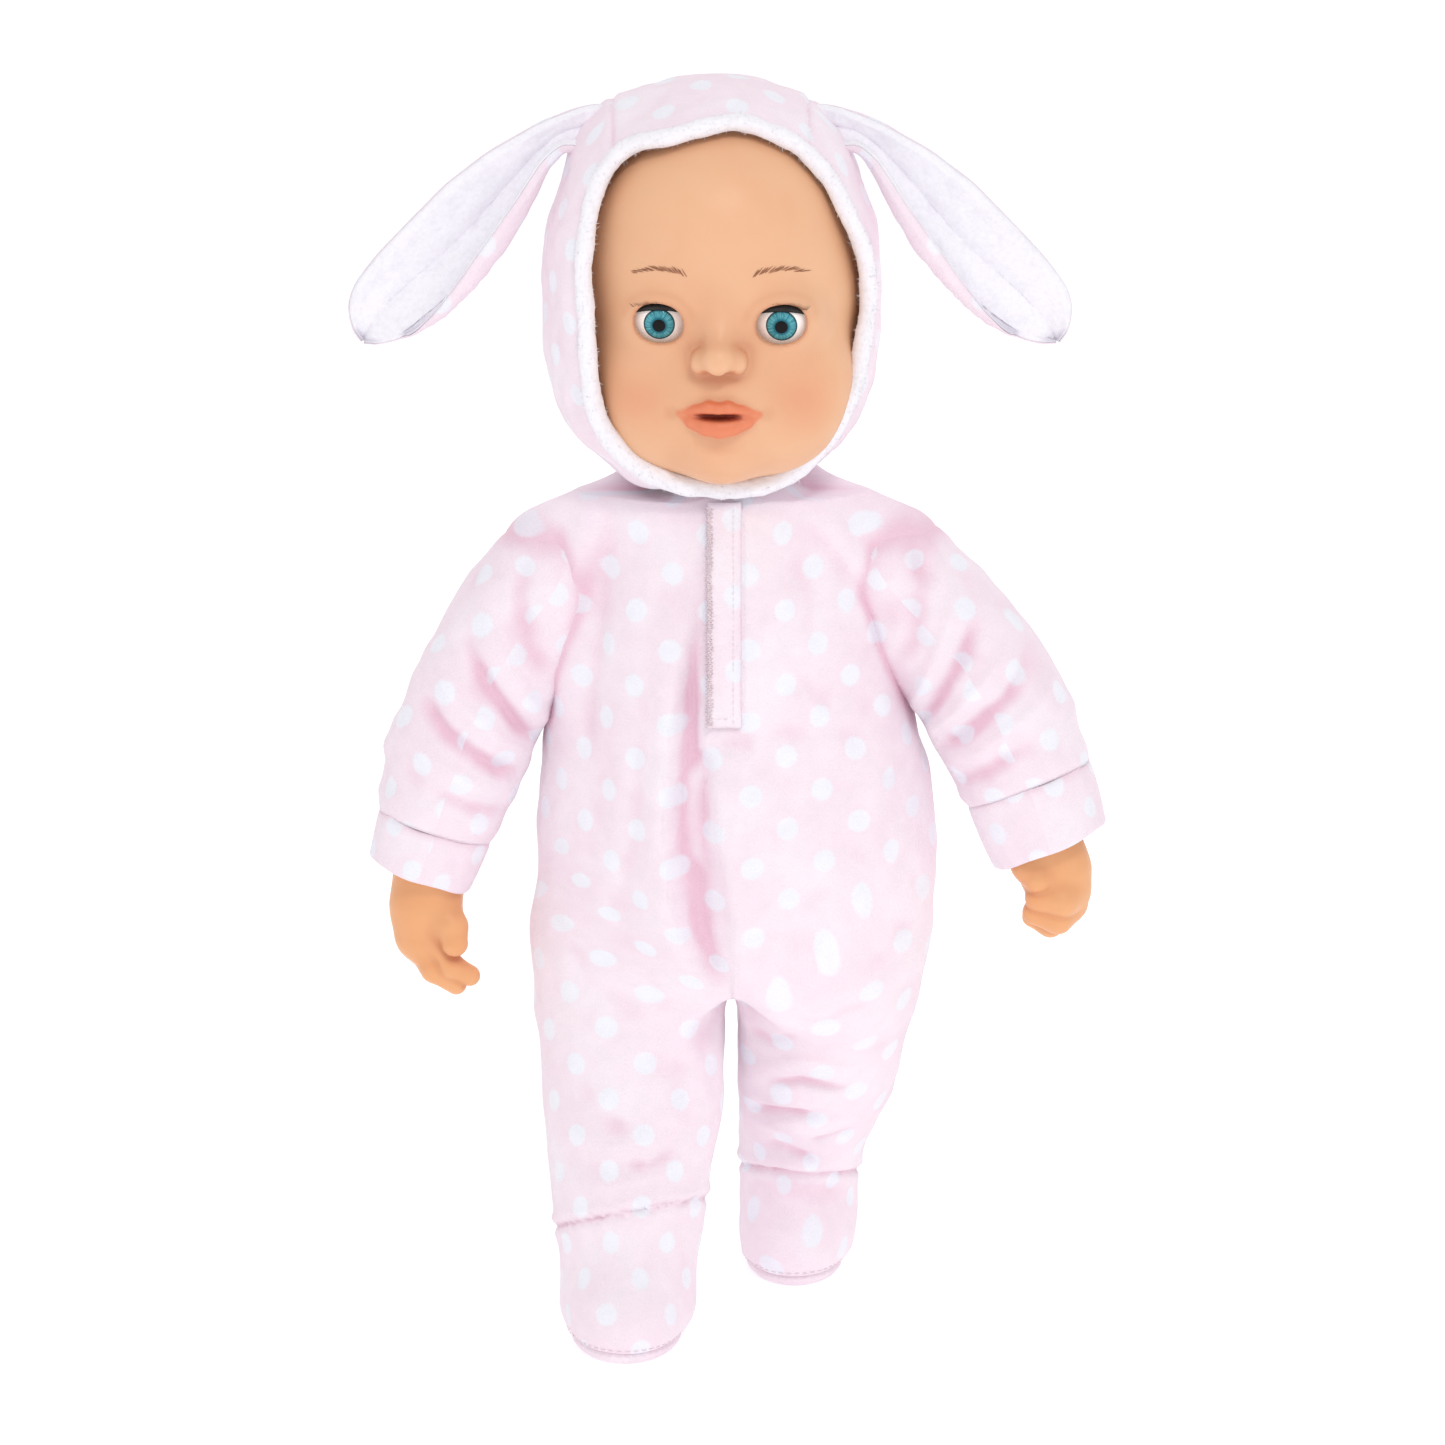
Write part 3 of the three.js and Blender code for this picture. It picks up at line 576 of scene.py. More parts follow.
PINK, PINK_DEEP = rgb(246, 234, 242), rgb(244, 227, 237)
CREAM = rgb(246, 243, 249)
SKIN, SKIN_WARM = rgb(232, 182, 144), rgb(228, 168, 128)
HAND, HAND_WARM = rgb(234, 172, 122), rgb(226, 150, 98)
VELOUR = velour("velour_pink", PINK, PINK_DEEP)
VELOUR_PLAIN = velour("velour_pink_plain", PINK, PINK_DEEP, dots=False)
PLUSH = plush("plush_white", CREAM)
EAR_PLUSH = plush("plush_ear", rgb(244, 241, 248))
THREAD = plush("thread_white", rgb(246, 228, 234), 0.4)
FACE = vinyl("vinyl_face", SKIN, SKIN_WARM, face=True)
VINYL = vinyl("vinyl_skin", SKIN, SKIN_WARM)
HAND_VINYL = vinyl("vinyl_hand", HAND, HAND_WARM)


def put(obj, body, slot, *nodes, fill=None):
    """Seats a piece on its body and hides the CAD solids it stands for. Its slot and fill are not used."""
    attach(obj, body)
    if nodes:
        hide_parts(*nodes)


def bend(obj, nodes):
    """Bakes a piece's place into its mesh and hides the CAD solids it stands for."""
    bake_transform(obj)
    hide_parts(*nodes)


# Head ------------------------------------------------------------------------------------
TURN = np.array([[math.cos(HEAD_TURN), -math.sin(HEAD_TURN), 0],
                 [math.sin(HEAD_TURN), math.cos(HEAD_TURN), 0],
                 [0, 0, 1]])


def to_face(p):
    return (p - HEAD) @ TURN


def from_face(p):
    return np.asarray(p) @ TURN.T + HEAD


def joined(parts, k):
    """Fields joined into one, with fillets of about that radius."""
    return reduce(lambda a, b: smin(a, b, k), parts)


def chain(p, points, k=1.6):
    """A limb through (point, radius) stations."""
    return joined((capsule(p, a, b, ra, rb) for (a, ra), (b, rb) in zip(points[:-1], points[1:])), k)


MOUTH_Z = -30.4


def lips(p):
    """The fields of the upper and the lower lip."""
    above = [((-11.6, -41.4, 0.0), 0.6), ((-6.8, -43.9, 1.3), 1.2), ((-2.8, -45.2, 2.3), 1.75),
             ((0, -45.5, 1.8), 1.7), ((2.8, -45.2, 2.3), 1.75), ((6.8, -43.9, 1.3), 1.2),
             ((11.6, -41.4, 0.0), 0.6)]
    below = [((-11.4, -41.4, -0.4), 0.6), ((-7.6, -43.2, -2.1), 1.7), ((-3.8, -44.5, -3.3), 2.4),
             ((0, -44.9, -3.7), 2.7), ((3.8, -44.5, -3.3), 2.4), ((7.6, -43.2, -2.1), 1.7),
             ((11.4, -41.4, -0.4), 0.6)]
    return chain(p - [0, 0, MOUTH_Z], above, 1.0), chain(p - [0, 0, MOUTH_Z], below, 1.4)


def eye_opening(p, side, spare=0.0):
    """Distance from the edge of the rounded slot that shows the eye, seen from the front."""
    u = (p[:, 0] - side * EYE[0]) / (7.2 + spare)
    w = (p[:, 2] - EYE[2] + 0.3) / (5.8 + spare) - 0.06 * side * u
    return ((np.abs(u) ** 2.2 + np.abs(w) ** 2.2) ** (1 / 2.2) - 1) * 6.0


def head_field(world):
    p = to_face(world)
    d = ellipsoid(p, (0, 0, 0), HEAD_RADII)
    d = smin(d, ellipsoid(p, (-4, -10, 24), (31, 32, 26)), 14)
    for s in (-1, 1):
        d = smin(d, ellipsoid(p, (s * 19.5, -21, -24), (18.5, 17, 17.5)), 9)
        d = smin(d, ellipsoid(p, (s * EYE[0], EYE[1], EYE[2]), (11.6, 11.3, 10.6)), 5)
    d = smin(d, ellipsoid(p, (0, -31, -27), (14, 12.2, 13)), 8)
    d = smin(d, ellipsoid(p, (-1.0, -19, -34), (33, 23, 20)), 8)
    for s in (-1, 1):
        d = smin(d, ellipsoid(p, (s * 17.0 - 1, -21, -34), (16.2, 15.4, 15.2)), 7)
    d = smin(d, ellipsoid(p, (-20, -13, 4), (20.8, 22, 36)), 9)
    d = smin(d, ellipsoid(p, (0, -31.5, -43.2), (10.5, 9.5, 9.0)), 7)
    d = smin(d, capsule(p, (0, -38.5, 2), (0, -43.5, -8), 2.6, 3.8), 6)
    d = smin(d, ellipsoid(p, (0, -47.2, -13.4), (5.0, 5.0, 4.7)), 3.4)
    for s in (-1, 1):
        d = smin(d, ellipsoid(p, (s * 5.3, -44.2, -14.6), (3.2, 4.0, 3.4)), 2.6)
    for s in (-1, 1):
        d = smax(d, -ellipsoid(p, (s * 3.4, -47.6, -18.0), (1.8, 2.6, 1.2)), 1.2)
        d = smax(d, -capsule(p, (s * 12.6, -43.0, MOUTH_Z), (s * 14.4, -42.2, MOUTH_Z + 0.3), 0.3, 0.5), 3.0)
        d = smax(d, -capsule(p, (s * 9.2, -45.4, -10.5), (s * 10.6, -44.6, -17.5), 0.7), 2.6)
    d = smax(d, -capsule(p, (0, -48.6, -19.8), (0, -48.4, -24.2), 1.0), 1.6)
    d = smax(d, -capsule(p, (-6, -44.6, -39.8), (6, -44.6, -39.8), 1.0), 3.0)
    upper, lower = lips(p)
    d = smin(d, smin(upper, lower, 0.5), 1.3)
    d = smax(d, -ellipsoid(p, (0, -46.3, MOUTH_Z - 0.3), (5.8, 3.4, 0.9)), 0.8)
    for s in (-1, 1):
        hole = smax(eye_opening(p, s), p[:, 1] + 30, 0.5)
        d = smax(d, -hole, 1.1)
        ball = np.linalg.norm(p - np.array([s * EYE[0], EYE[1], EYE[2]]), axis=1) - 9.75
        d = smax(d, -ball, 0.3)
    return d


verts, faces = net(head_field, HEAD - [44, 57, 55], HEAD + [44, 46, 54], 0.75)
local = to_face(verts)
upper, lower = lips(local)
front = step(0, 6, -local[:, 1] - 30)
cheek = sum(bell((local[:, 0] - s * 24.5) / 9, (local[:, 2] + 27) / 8.5) for s in (-1, 1))
chin = 0.25 * bell(local[:, 0] / 9, (local[:, 2] + 46) / 5)
rim = sum(bell(eye_opening(local, s) / 1.3) for s in (-1, 1)) * front
lid_line = sum(bell(eye_opening(local, s, 3.2) / 0.7) * step(-1, 3, local[:, 2] - EYE[2]) for s in (-1, 1))
nostril = sum(bell((local[:, 0] - s * 3.4) / 1.8, (local[:, 2] + 18.6) / 1.3) for s in (-1, 1))
# The mouth's slit, where dark red is painted as the shade inside it
slit = 1 - step(0.0, 0.9, ellipsoid(local, (0, -45.3, MOUTH_Z - 0.3), (5.6, 4.4, 0.6)))
facing = normals(verts, faces)
crease = sum(np.clip(1 - head_field(verts + facing * h) / h, 0, 1) for h in (2.0, 5.0))
head = piece("head_skin", verts, faces, FACE, paint={
    "blush": np.clip((cheek + chin) * front, 0, 1),
    "lip": (1 - step(0.1, 0.8, np.minimum(upper, lower))) * front,
    "shade": np.clip((0.35 * rim + 0.25 * lid_line + 0.45 * nostril + 0.8 * crease
                      + step(31, 37, local[:, 0]) * step(-38, -10, local[:, 2])) * front, 0, 1),
    "mouth_shade": slit * front})
put(head, "head", "vinyl_skin", "head_shell")


def onto_face(x, z, lift):
    """Points on the face's surface, or that far in front of it, at the given places seen from the front."""
    return from_face(pressed(lambda p: head_field(from_face(p)) - lift, x, z, 60, -2, 2, 0.7))


# Painted brows, as short tapered strokes
rng = np.random.default_rng(4)
strokes = []
for side in (-1, 1):
    for t in np.linspace(0, 1, 34):
        x0 = side * (9.6 + 14.5 * t) + rng.uniform(-0.3, 0.3)
        z0 = 10.6 + 2.0 * math.sin(math.pi * (0.1 + 0.72 * t)) + rng.uniform(-0.35, 0.35)
        lean = 0.95 - 1.15 * t
        length = rng.uniform(1.7, 2.6)
        u = np.linspace(0, 1, 5)
        way = np.array([side * math.cos(lean), math.sin(lean)])
        x, z = x0 + way[0] * length * u, z0 - 1.2 + way[1] * length * u + 0.25 * u * u
        across = np.array([-way[1], way[0]]) * 0.12
        width = (np.sin(math.pi * (0.12 + 0.83 * u)))[:, None]
        a = onto_face(x + across[0] * width[:, 0], z + across[1] * width[:, 0], 0.03)
        b = onto_face(x - across[0] * width[:, 0], z - across[1] * width[:, 0], 0.03)
        top = np.concatenate([a, b])
        lift = np.array([0.0, -0.10, 0.0])
        v = np.concatenate([top + lift, top - lift * 2])
        f = [tuple(i + j for j in q) for i in range(4)
             for q in ((0, 1, 6, 5), (11, 10, 15, 16), (1, 0, 10, 11), (5, 6, 16, 15))]
        f += [(0, 5, 15, 10), (9, 4, 14, 19)]
        strokes.append((v, f))
brow_verts, brow_faces = gathered(strokes)
put(piece("brows", brow_verts, brow_faces, moulded("brow_brown", rgb(158, 104, 74), 0.6)), "head", "vinyl_skin")

# Eyes ------------------------------------------------------------------------------------
# The eye's paint glows a little, its own colour as emission, to lighten it against the shade of its socket
p = Paint("eye_white", Coat_Weight=0.3, Coat_Roughness=0.05, Roughness=0.35, Specular_IOR_Level=0.04,
          Emission_Strength=0.16)
at = p.cloth()
r = p.vector("LENGTH", at)
IRIS_R, PUPIL_R = 4.75 * MM, 1.85 * MM
apart = p.node("SeparateXYZ", {0: at}).outputs
angle = p.math("ARCTAN2", apart[1], apart[0])
swirl = p.node("CombineXYZ", {0: p.math("MULTIPLY", p.math("COSINE", angle), 6.0),
                              1: p.math("MULTIPLY", p.math("SINE", angle), 6.0),
                              2: p.math("MULTIPLY", r, 60.0)}).outputs[0]
rays = p.node("TexNoise", {"Vector": swirl, "Scale": 3.6, "Detail": 4.0, "Roughness": 0.6}).outputs[0]
teal = p.mix(p.remap(rays, 0.36, 0.64), rgb(28, 108, 124), rgb(104, 178, 186))
inner = p.mix(p.remap(r, PUPIL_R * 1.05, IRIS_R * 0.62), rgb(24, 96, 112), teal)
ring = p.mix(p.remap(r, IRIS_R * 0.82, IRIS_R * 0.99), inner, rgb(14, 44, 56))
eye = p.mix(p.remap(r, PUPIL_R * 0.92, PUPIL_R * 1.06, 1, 0), ring, rgb(3, 3, 4))
veins = p.remap(p.noise(at, 5.0, 3), 0.4, 0.8, 0, 0.25)
white = p.mix(veins, rgb(252, 251, 249), rgb(240, 214, 208))
colour = p.mix(p.remap(r, IRIS_R * 0.985, IRIS_R * 1.03), eye, white)
p.feed(p.shader.inputs["Emission Color"], colour)
EYE_GLOW_PAINT = p.done(colour, 0.3)
LASH = moulded("lash_black", rgb(24, 18, 16), 0.55)


def ball_point(radius, azimuth, elevation):
    """A point on a ball about the eye's centre: azimuth 0 and elevation 0 look forwards."""
    level = radius * np.cos(elevation)
    return np.stack([level * np.sin(azimuth), -level * np.cos(azimuth),
                     radius * np.sin(elevation) + 0 * azimuth], -1)


for name, side in SIDES.items():
    centre = np.array([side * EYE[0], EYE[1], EYE[2]])
    body = "eye_" + name
    n = 64
    turn = circle(n)
    rings, flat = [], []
    for a in np.linspace(0.02, math.pi - 0.02, 40):
        bulge = EYE_R + 0.45 * math.exp(-((a / 0.5) ** 4))
        ring = np.stack([bulge * math.sin(a) * np.cos(turn), np.full(n, -bulge * math.cos(a)),
                         bulge * math.sin(a) * np.sin(turn)], 1)
        rings.append(ring)
        reach = EYE_R * a
        flat.append(np.stack([reach * np.cos(turn), reach * np.sin(turn)], 1))
    v, f = lofted(np.array(rings)[:, ::-1])
    look = np.array([0.0, -1.15])
    uv = np.concatenate([np.array(flat)[:, ::-1].reshape(-1, 2), [[0, 0], [30, 0]]]) - look
    eye = piece("eye_ball_" + name, from_face(v + centre), f, EYE_GLOW_PAINT, uv=uv)
    put(eye, body, "eye_white", "eyeball_" + name, "iris_" + name, "cornea_" + name)

    # The lid is the part of a thin cap above its edge, as thick as the gap round the ball
    edge, back = math.radians(27), math.radians(100)
    across = np.linspace(-math.radians(84), math.radians(84), 40)
    rows = []
    for radius, span in ((LID_R, np.linspace(0, 1, 22)), (LID_R - 0.32, np.linspace(1, 0, 22))):
        for t in span:
            e = edge + (back - edge) * t
            tilt = np.array([0, -math.cos(e), math.sin(e)])
            x = LID_R * np.sin(across) * 0.98
            rest = np.sqrt(np.maximum(radius**2 - x**2, 0.05))
            rows.append(np.stack([x, rest * tilt[1], rest * tilt[2]], 1))
    rows = np.array(rows)
    m, k = rows.shape[:2]
    f = [(i * k + j, i * k + j + 1, ((i + 1) % m) * k + j + 1, ((i + 1) % m) * k + j)
         for i in range(m) for j in range(k - 1)]
    f += [tuple(i * k for i in range(m))[::-1], tuple(i * k + k - 1 for i in range(m))]
    lid = piece("eye_lid_" + name, from_face(rows.reshape(-1, 3) + centre), f, VINYL)
    put(lid, body, "vinyl_skin", "eyelid_" + name)

    # Lash line and lashes
    parts = []
    t = np.linspace(-1, 1, 40)
    base = ball_point(LID_R + 0.15, t * math.radians(54), math.radians(27) - 0.22 * t * t)
    parts.append(tube(base, 0.95 * np.cos(t * 1.4) ** 0.5 + 0.1))
    rng = np.random.default_rng(7)
    for t in np.linspace(-0.82, 0.82, 31):
        root = ball_point(LID_R + 0.1, t * math.radians(53), math.radians(28) - 0.22 * t * t)
        u = np.linspace(0, 1, 7)[:, None]
        length = 2.1 + 0.5 * abs(t) + rng.uniform(-0.25, 0.25)
        way = np.array([math.sin(t * 0.95) * 0.8, -1.0, 0.15 + rng.uniform(-0.08, 0.08)])
        curl = np.array([math.sin(t * 0.95) * 0.7, 0.0, 1.35])
        parts.append(tube(root + way * u * length * 1.3 + curl * (u**2) * length * 0.5,
                          0.15 * (1 - u[:, 0]) + 0.03, 5))
    v, f = gathered(parts)
    lash = piece("eye_lashes_" + name, from_face(v + centre), f, LASH)
    put(lash, body, "lash_black", "lashes_" + name)


# Hood ------------------------------------------------------------------------------------
def hood_form(p, inset):
    d = smin(ellipsoid(p, HOOD[0], HOOD[1] - inset), ellipsoid(p, JOWL[0], JOWL[1] - inset), 12)
    for x in (-23.5, 16.5):
        d = smin(d, ellipsoid(p, (x, 7, 352.5), np.array([20, 24, 20.5]) - inset), 8)
    return d


def opening_reach(c, s):
    """How far the opening reaches in a direction, against an oval: squarer on the left, most of all above."""
    power = 2.1 + step(0.1, 0.8, -c) * (0.4 + 0.6 * step(-0.5, 0.5, s))
    return (np.abs(c) ** power + np.abs(s) ** power) ** (-1 / power)


def opening(p):
    x, z, rx, rz = OPENING
    u, w = (p[:, 0] - x) / rx, (p[:, 2] - z) / rz
    away = np.hypot(u, w) + 1e-9
    return (away / opening_reach(u / away, w / away) - 1) * 42


def hood_field(p):
    d = smax(hood_form(p, 0), -hood_form(p, 2.6), 0.6)
    d = smax(d, -smax(opening(p), p[:, 1] + 4, 1), 2.0)
    return smax(d, HEM_Z - p[:, 2], 1.5)


verts, faces = net(hood_field, [-58, -50, HEM_Z - 3], [53, 60, 384], 1.25)
normal = normals(verts, faces)
outer = step(-1.6, -0.8, -np.abs(hood_form(verts, 0)))
q = verts - HOOD[0]
angle = np.arctan2(q[:, 0], -q[:, 1])
push = 0.5 * waves(verts, 26, 3) + 0.3 * waves(verts, 11, 5)
front_z = np.stack([q[:, 0], verts[:, 2]], 1)
push += folds(front_z, mirrored([([(36, 284), (41, 306), (43, 330)], 3.2, 1.0),
                                 ([(28, 268), (38, 276), (44, 292)], 2.6, 1.4),
                                 ([(24, 262), (35, 268), (43, 278)], (2.4, 1.6), -1.2)]))
seam = np.abs(np.abs(q[:, 0]) - 29)
seam_part = step(0, 8, verts[:, 2] - 345)
push -= 0.6 * bell(seam / 0.9) * seam_part
push += 0.25 * bell((seam - 2.2) / 1.4) * seam_part
verts = verts + normal * (push * outer)[:, None]
centre_strip = step(-4, 4, 29 - np.abs(q[:, 0])) * step(340, 348, verts[:, 2])
side_uv = np.stack([angle * HOOD_ROUND, verts[:, 2]], 1)
top_uv = np.stack([q[:, 0] + 3, np.arctan2(-q[:, 1], q[:, 2]) * 54], 1)
# Painted shade in the hollows of the hood's folds
hood = piece("hood_cloth", verts, faces, VELOUR, uv=side_uv, wrap=2 * math.pi * HOOD_ROUND,
             panel=(top_uv, centre_strip[faces].mean(1) > 0.5),
             paint={"painted_shade": hollows(verts, faces, 10, 0.9) * outer})
put(hood, "head", "velour_pink", "hood_shell", fill=0.2)


def hood_front(x, z):
    return np.minimum(pressed(lambda p: hood_form(p, 0), x, z, 60, -2, 3, 0.8)[:, 1], 0)


# Plush edge: a tube of pile along the opening, with loose fibres standing out of it
rng = np.random.default_rng(11)
x0, z0, rx, rz = OPENING
turn = circle(260)
c, s = np.cos(turn), np.sin(turn)
size = opening_reach(c, s)
wander = 0.5 * np.sin(5 * turn + 1) + 0.3 * np.sin(9 * turn) + 0.12 * np.sin(17 * turn + 2)
rim_x = x0 + (rx + 0.4 + wander) * size * c
rim_z = z0 + (rz + 0.4 + wander) * size * s
rim_path = np.stack([rim_x, hood_front(rim_x, rim_z) + 0.6, rim_z], 1)
around = 20
v, f = tube(rim_path, 2.6 + 0.5 * step(0, 1, -s) + 0.12 * np.sin(23 * turn), around, closed=True)
centre_line = np.repeat(rim_path, around, 0)
v = v + (v - centre_line) * (0.05 * waves(v, 3.5, 8))[:, None]


def fibres(roots, ways, length, width, seed):
    """Fine tapered fibres: three thin faces each, from the roots along the ways, with a bend."""
    rng = np.random.default_rng(seed)
    n = len(roots)
    droop = rng.normal(size=(n, 3)) * 0.45
    length = length * rng.uniform(0.55, 1.25, (n, 1))
    side = unit(np.cross(ways, rng.normal(size=(n, 3))))
    other = np.cross(ways, side)
    verts = []
    for t, w in ((0, 1.0), (0.55, 0.7)):
        at = roots + ways * length * t + droop * length * t * t
        for a in (0, 2.1, 4.2):
            verts.append(at + width * w * (math.cos(a) * side + math.sin(a) * other))
    verts.append(roots + ways * length + droop * length)
    verts = np.stack(verts, 1)
    base = np.arange(n)[:, None] * 7
    quads = np.concatenate([base + [a, b, b + 3, a + 3] for a, b in ((0, 1), (1, 2), (2, 0))])
    tips = np.concatenate([base + [3, 4, 6], base + [4, 5, 6], base + [5, 3, 6], base + [2, 1, 0]])
    return verts.reshape(-1, 3), [tuple(q) for q in quads.tolist()] + [tuple(q) for q in tips.tolist()]


pick = rng.integers(0, len(v), 4200)
ways = (v - centre_line)[pick]
ways = unit(ways)
pile = fibres(v[pick] - ways * 0.2, ways + rng.normal(size=ways.shape) * 0.3, 0.75, 0.08, 12)
v, f = gathered([(v, f), pile])
put(piece("hood_trim_plush", v, f, PLUSH), "head", "plush_white", "hood_trim", fill=0.3)

# Ears ------------------------------------------------------------------------------------
EAR_Z, EAR_ROOT = 366.0, {"right": -37.5, "left": 30.2}
EAR_TOP = np.array([(-9, 4), (-2, 5.6), (4.5, 4.6), (16, 0.6), (31, -7.6), (43.5, -17), (54, -27.6),
                    (63.6, -37.6), (70.4, -46.2), (74.6, -54), (75.4, -61.4)], float)
EAR_LOW = np.array([(-6, -12), (2, -7.5), (9.5, -6.5), (15, -13), (20.7, -24.6), (27.5, -36), (35.7, -46),
                    (44.6, -54.6), (52.4, -60.6), (58, -65), (62.6, -68)], float)


def along(points, t):
    """Places at equal shares t of a polyline's length, smoothed."""
    spans = lengths(points)
    fine = np.linspace(0, spans[-1], 300)
    dense = np.stack([np.interp(fine, spans, points[:, i]) for i in (0, 1)], 1)
    padded = np.concatenate([2 * dense[:1] - dense[15:0:-1], dense, 2 * dense[-1:] - dense[-2:-17:-1]])
    smooth = np.stack([np.convolve(padded[:, i], smoothing(31), "valid") for i in (0, 1)], 1)
    return np.stack([np.interp(t * spans[-1], fine, smooth[:, i]) for i in (0, 1)], 1)


def ear_surface(side, m=70, n=49):
    """The middle surface of an ear.

    Its rows go from the seam to the tip, and its columns from the upper edge to the folded lower edge.
    """
    s = np.linspace(0, 1, m)
    top, low = along(EAR_TOP, s), along(EAR_LOW, s)
    t = np.linspace(-1, 1, n)
    rows = []
    for i in range(m):
        middle, half = (top[i] + low[i]) / 2, (low[i] - top[i]) / 2
        width = np.linalg.norm(half)
        tip = min(1.0, (1 - s[i]) / 0.14)
        half = half * math.sqrt(max(1 - (1 - tip) ** 2, 0.002))
        flap = 0.34 * step(0.02, 0.25, s[i]) * step(0.02, 0.5, 1 - s[i])
        turn_at = 1 - flap
        q = np.where(t < turn_at, -1 + (t + 1) * (2 / (turn_at + 1)), 1 - (t - turn_at) * 1.15)
        roll = np.clip((t - turn_at + 0.08) / 0.16, 0, 1)
        y = -3.4 * t**2 * step(0, 0.3, s[i]) + 3.0 * bell((t + 0.05) / 0.2) * (1 - 0.5 * s[i])
        rolled = 3.6 * roll * roll * (3 - 2 * roll) + 1.4 * np.clip(t - turn_at, 0, 1) / max(flap, 0.05)
        y = y - rolled * (flap > 0.02)
        y = y + 1.1 * np.sin(5.0 * s[i] + 2.2 * t + side) * step(0.1, 0.5, s[i])
        y = y - 6.0 * math.sin(math.pi * min(s[i] * 0.8, 1.0))
        x = middle[0] + half[0] * q
        z = middle[1] + half[1] * q
        rows.append(np.stack([side * x, y, z], 1))
    return np.array(rows)


for name, side in SIDES.items():
    surface = ear_surface(side)
    m, n = surface.shape[:2]
    v = surface.reshape(-1, 3) + np.array([EAR_ROOT[name], 5.0, EAR_Z])
    f = grid_faces(m, n)
    normal = normals(v, f)
    if normal[:, 1].mean() > 0:
        f = f[:, ::-1]
        normal = -normal
    t = np.tile(np.linspace(-1, 1, n), m)
    s = np.repeat(np.linspace(0, 1, m), n)
    edge = np.minimum(1 - np.abs(t), (1 - s) * 1.6)
    plump = 0.25 + 0.75 * step(0, 0.12, edge)
    spans = np.linalg.norm(np.diff(surface, axis=1), axis=2)
    u = np.concatenate([np.zeros((m, 1)), np.cumsum(spans, 1)], 1)
    u = (u - u[:, n // 2:n // 2 + 1]).ravel()
    uv = np.stack([u, s * 100], 1)
    grain = 0.12 * waves(v, 2.2, 31) + 0.25 * waves(v, 9, 32)
    front = v + normal * (0.15 + (1.9 + grain) * plump)[:, None]
    out, ff, _, used = shell(front, f, normal, 0.0)
    k = len(used)
    out[k:] = v[used] + normal[used] * 0.08
    # Painted shade in the hollows of the ear's pile, such as its middle crease
    sunk = hollows(front, f, 14, 0.9)
    lining = piece("ear_plush_" + name, out, ff, EAR_PLUSH, paint={"painted_shade": np.tile(sunk[used], 2)})
    back_side = v - normal * (0.15 + 1.5 * plump + 0.2 * waves(v, 9, 33) * plump)[:, None]
    out, ff, _, _ = shell(back_side, f[:, ::-1], -normal, 0.0)
    out[k:] = v[used] - normal[used] * 0.08
    cover = piece("ear_velour_" + name, out, ff, VELOUR, uv=np.concatenate([uv, uv]))
    root = np.array([EAR_ROOT[name], 5.0, EAR_Z])
    bend(lining, ["ear_lining_" + name])
    bend(cover, ["ear_back_" + name])


# Romper ----------------------------------------------------------------------------------
def arm_line(name, run):
    """The middle of an arm at distances down it, and its front and outer directions there."""
    side, way = SIDES[name], ARM_WAY[name]
    bowed = np.array([-way[2] * side, 0.0, way[0] * side])
    bowed /= np.linalg.norm(bowed)
    bow_run, bow = SLEEVES[name][:2]
    run = np.asarray(run, float)

    def middle(at):
        return SHOULDER * [side, 1, 1] + at[:, None] * way + eased(at, bow_run, bow)[:, None] * bowed
    ahead = middle(run + 0.5) - middle(run - 0.5)
    front = np.array([0.0, -1.0, 0.0]) - ahead * -ahead[:, 1:2]
    front = unit(front)
    outer = np.cross(ahead, front) * -side
    return middle(run), front, outer * np.where(outer[:, :1] * side < 0, -1, 1)


def arm_field(p, name):
    """Distance from the surface of a sleeve."""
    runs = np.linspace(0, 72, 7)
    middle, _, _ = arm_line(name, runs)
    return chain(p, list(zip(middle, eased(runs, *SLEEVES[name][2:4]))), 4)


TORSO_SMOOTH = np.convolve(np.interp(np.arange(51.0, 309.0), TORSO_Z, TORSO_R), smoothing(19), "valid")


def torso_r(z):
    return np.interp(z, np.arange(60.0, 300.0), TORSO_SMOOTH)


def torso_field(p):
    x, y = p[:, 0] - BELLY_SHIFT * bell((p[:, 2] - BELLY_Z) / 46), p[:, 1] - TORSO_Y
    q = np.sqrt(x * x + (y / TORSO_DEPTH) ** 2) + 1e-6
    g = np.sqrt(x * x + (y / TORSO_DEPTH**2) ** 2) / q
    d = (q - torso_r(p[:, 2])) / np.maximum(g, 1)
    d = smax(d, p[:, 2] - 261.5, 4)
    d = smax(d, 94 + 12 * bell((p[:, 0] - CROTCH[0]) / 11) - p[:, 2], 9)
    for s in (-1, 1):
        d = smin(d, capsule(p, (s * 24, 5, 249.5), (s * 51, 5, 235), 13, 15.7), 12)
    return d


def leg_frame(p, name):
    """Height along the leg and distance from its axis."""
    hip = HIP * [SIDES[name], 1, 1] + [HIP_SHIFT, 0, 0]
    run = (p - hip) @ LEG_WAY[name]
    return run, np.linalg.norm(p - hip - run[:, None] * LEG_WAY[name], axis=1)


ANKLES = {"right": (-28.6, -23.2, 18.6), "left": (22.6, 38.2, 17.0)}
FEET = {"right": (-29.2, -31.9, 18.9, 27.6), "left": (22.6, 32.5, 17.2, 25.0)}


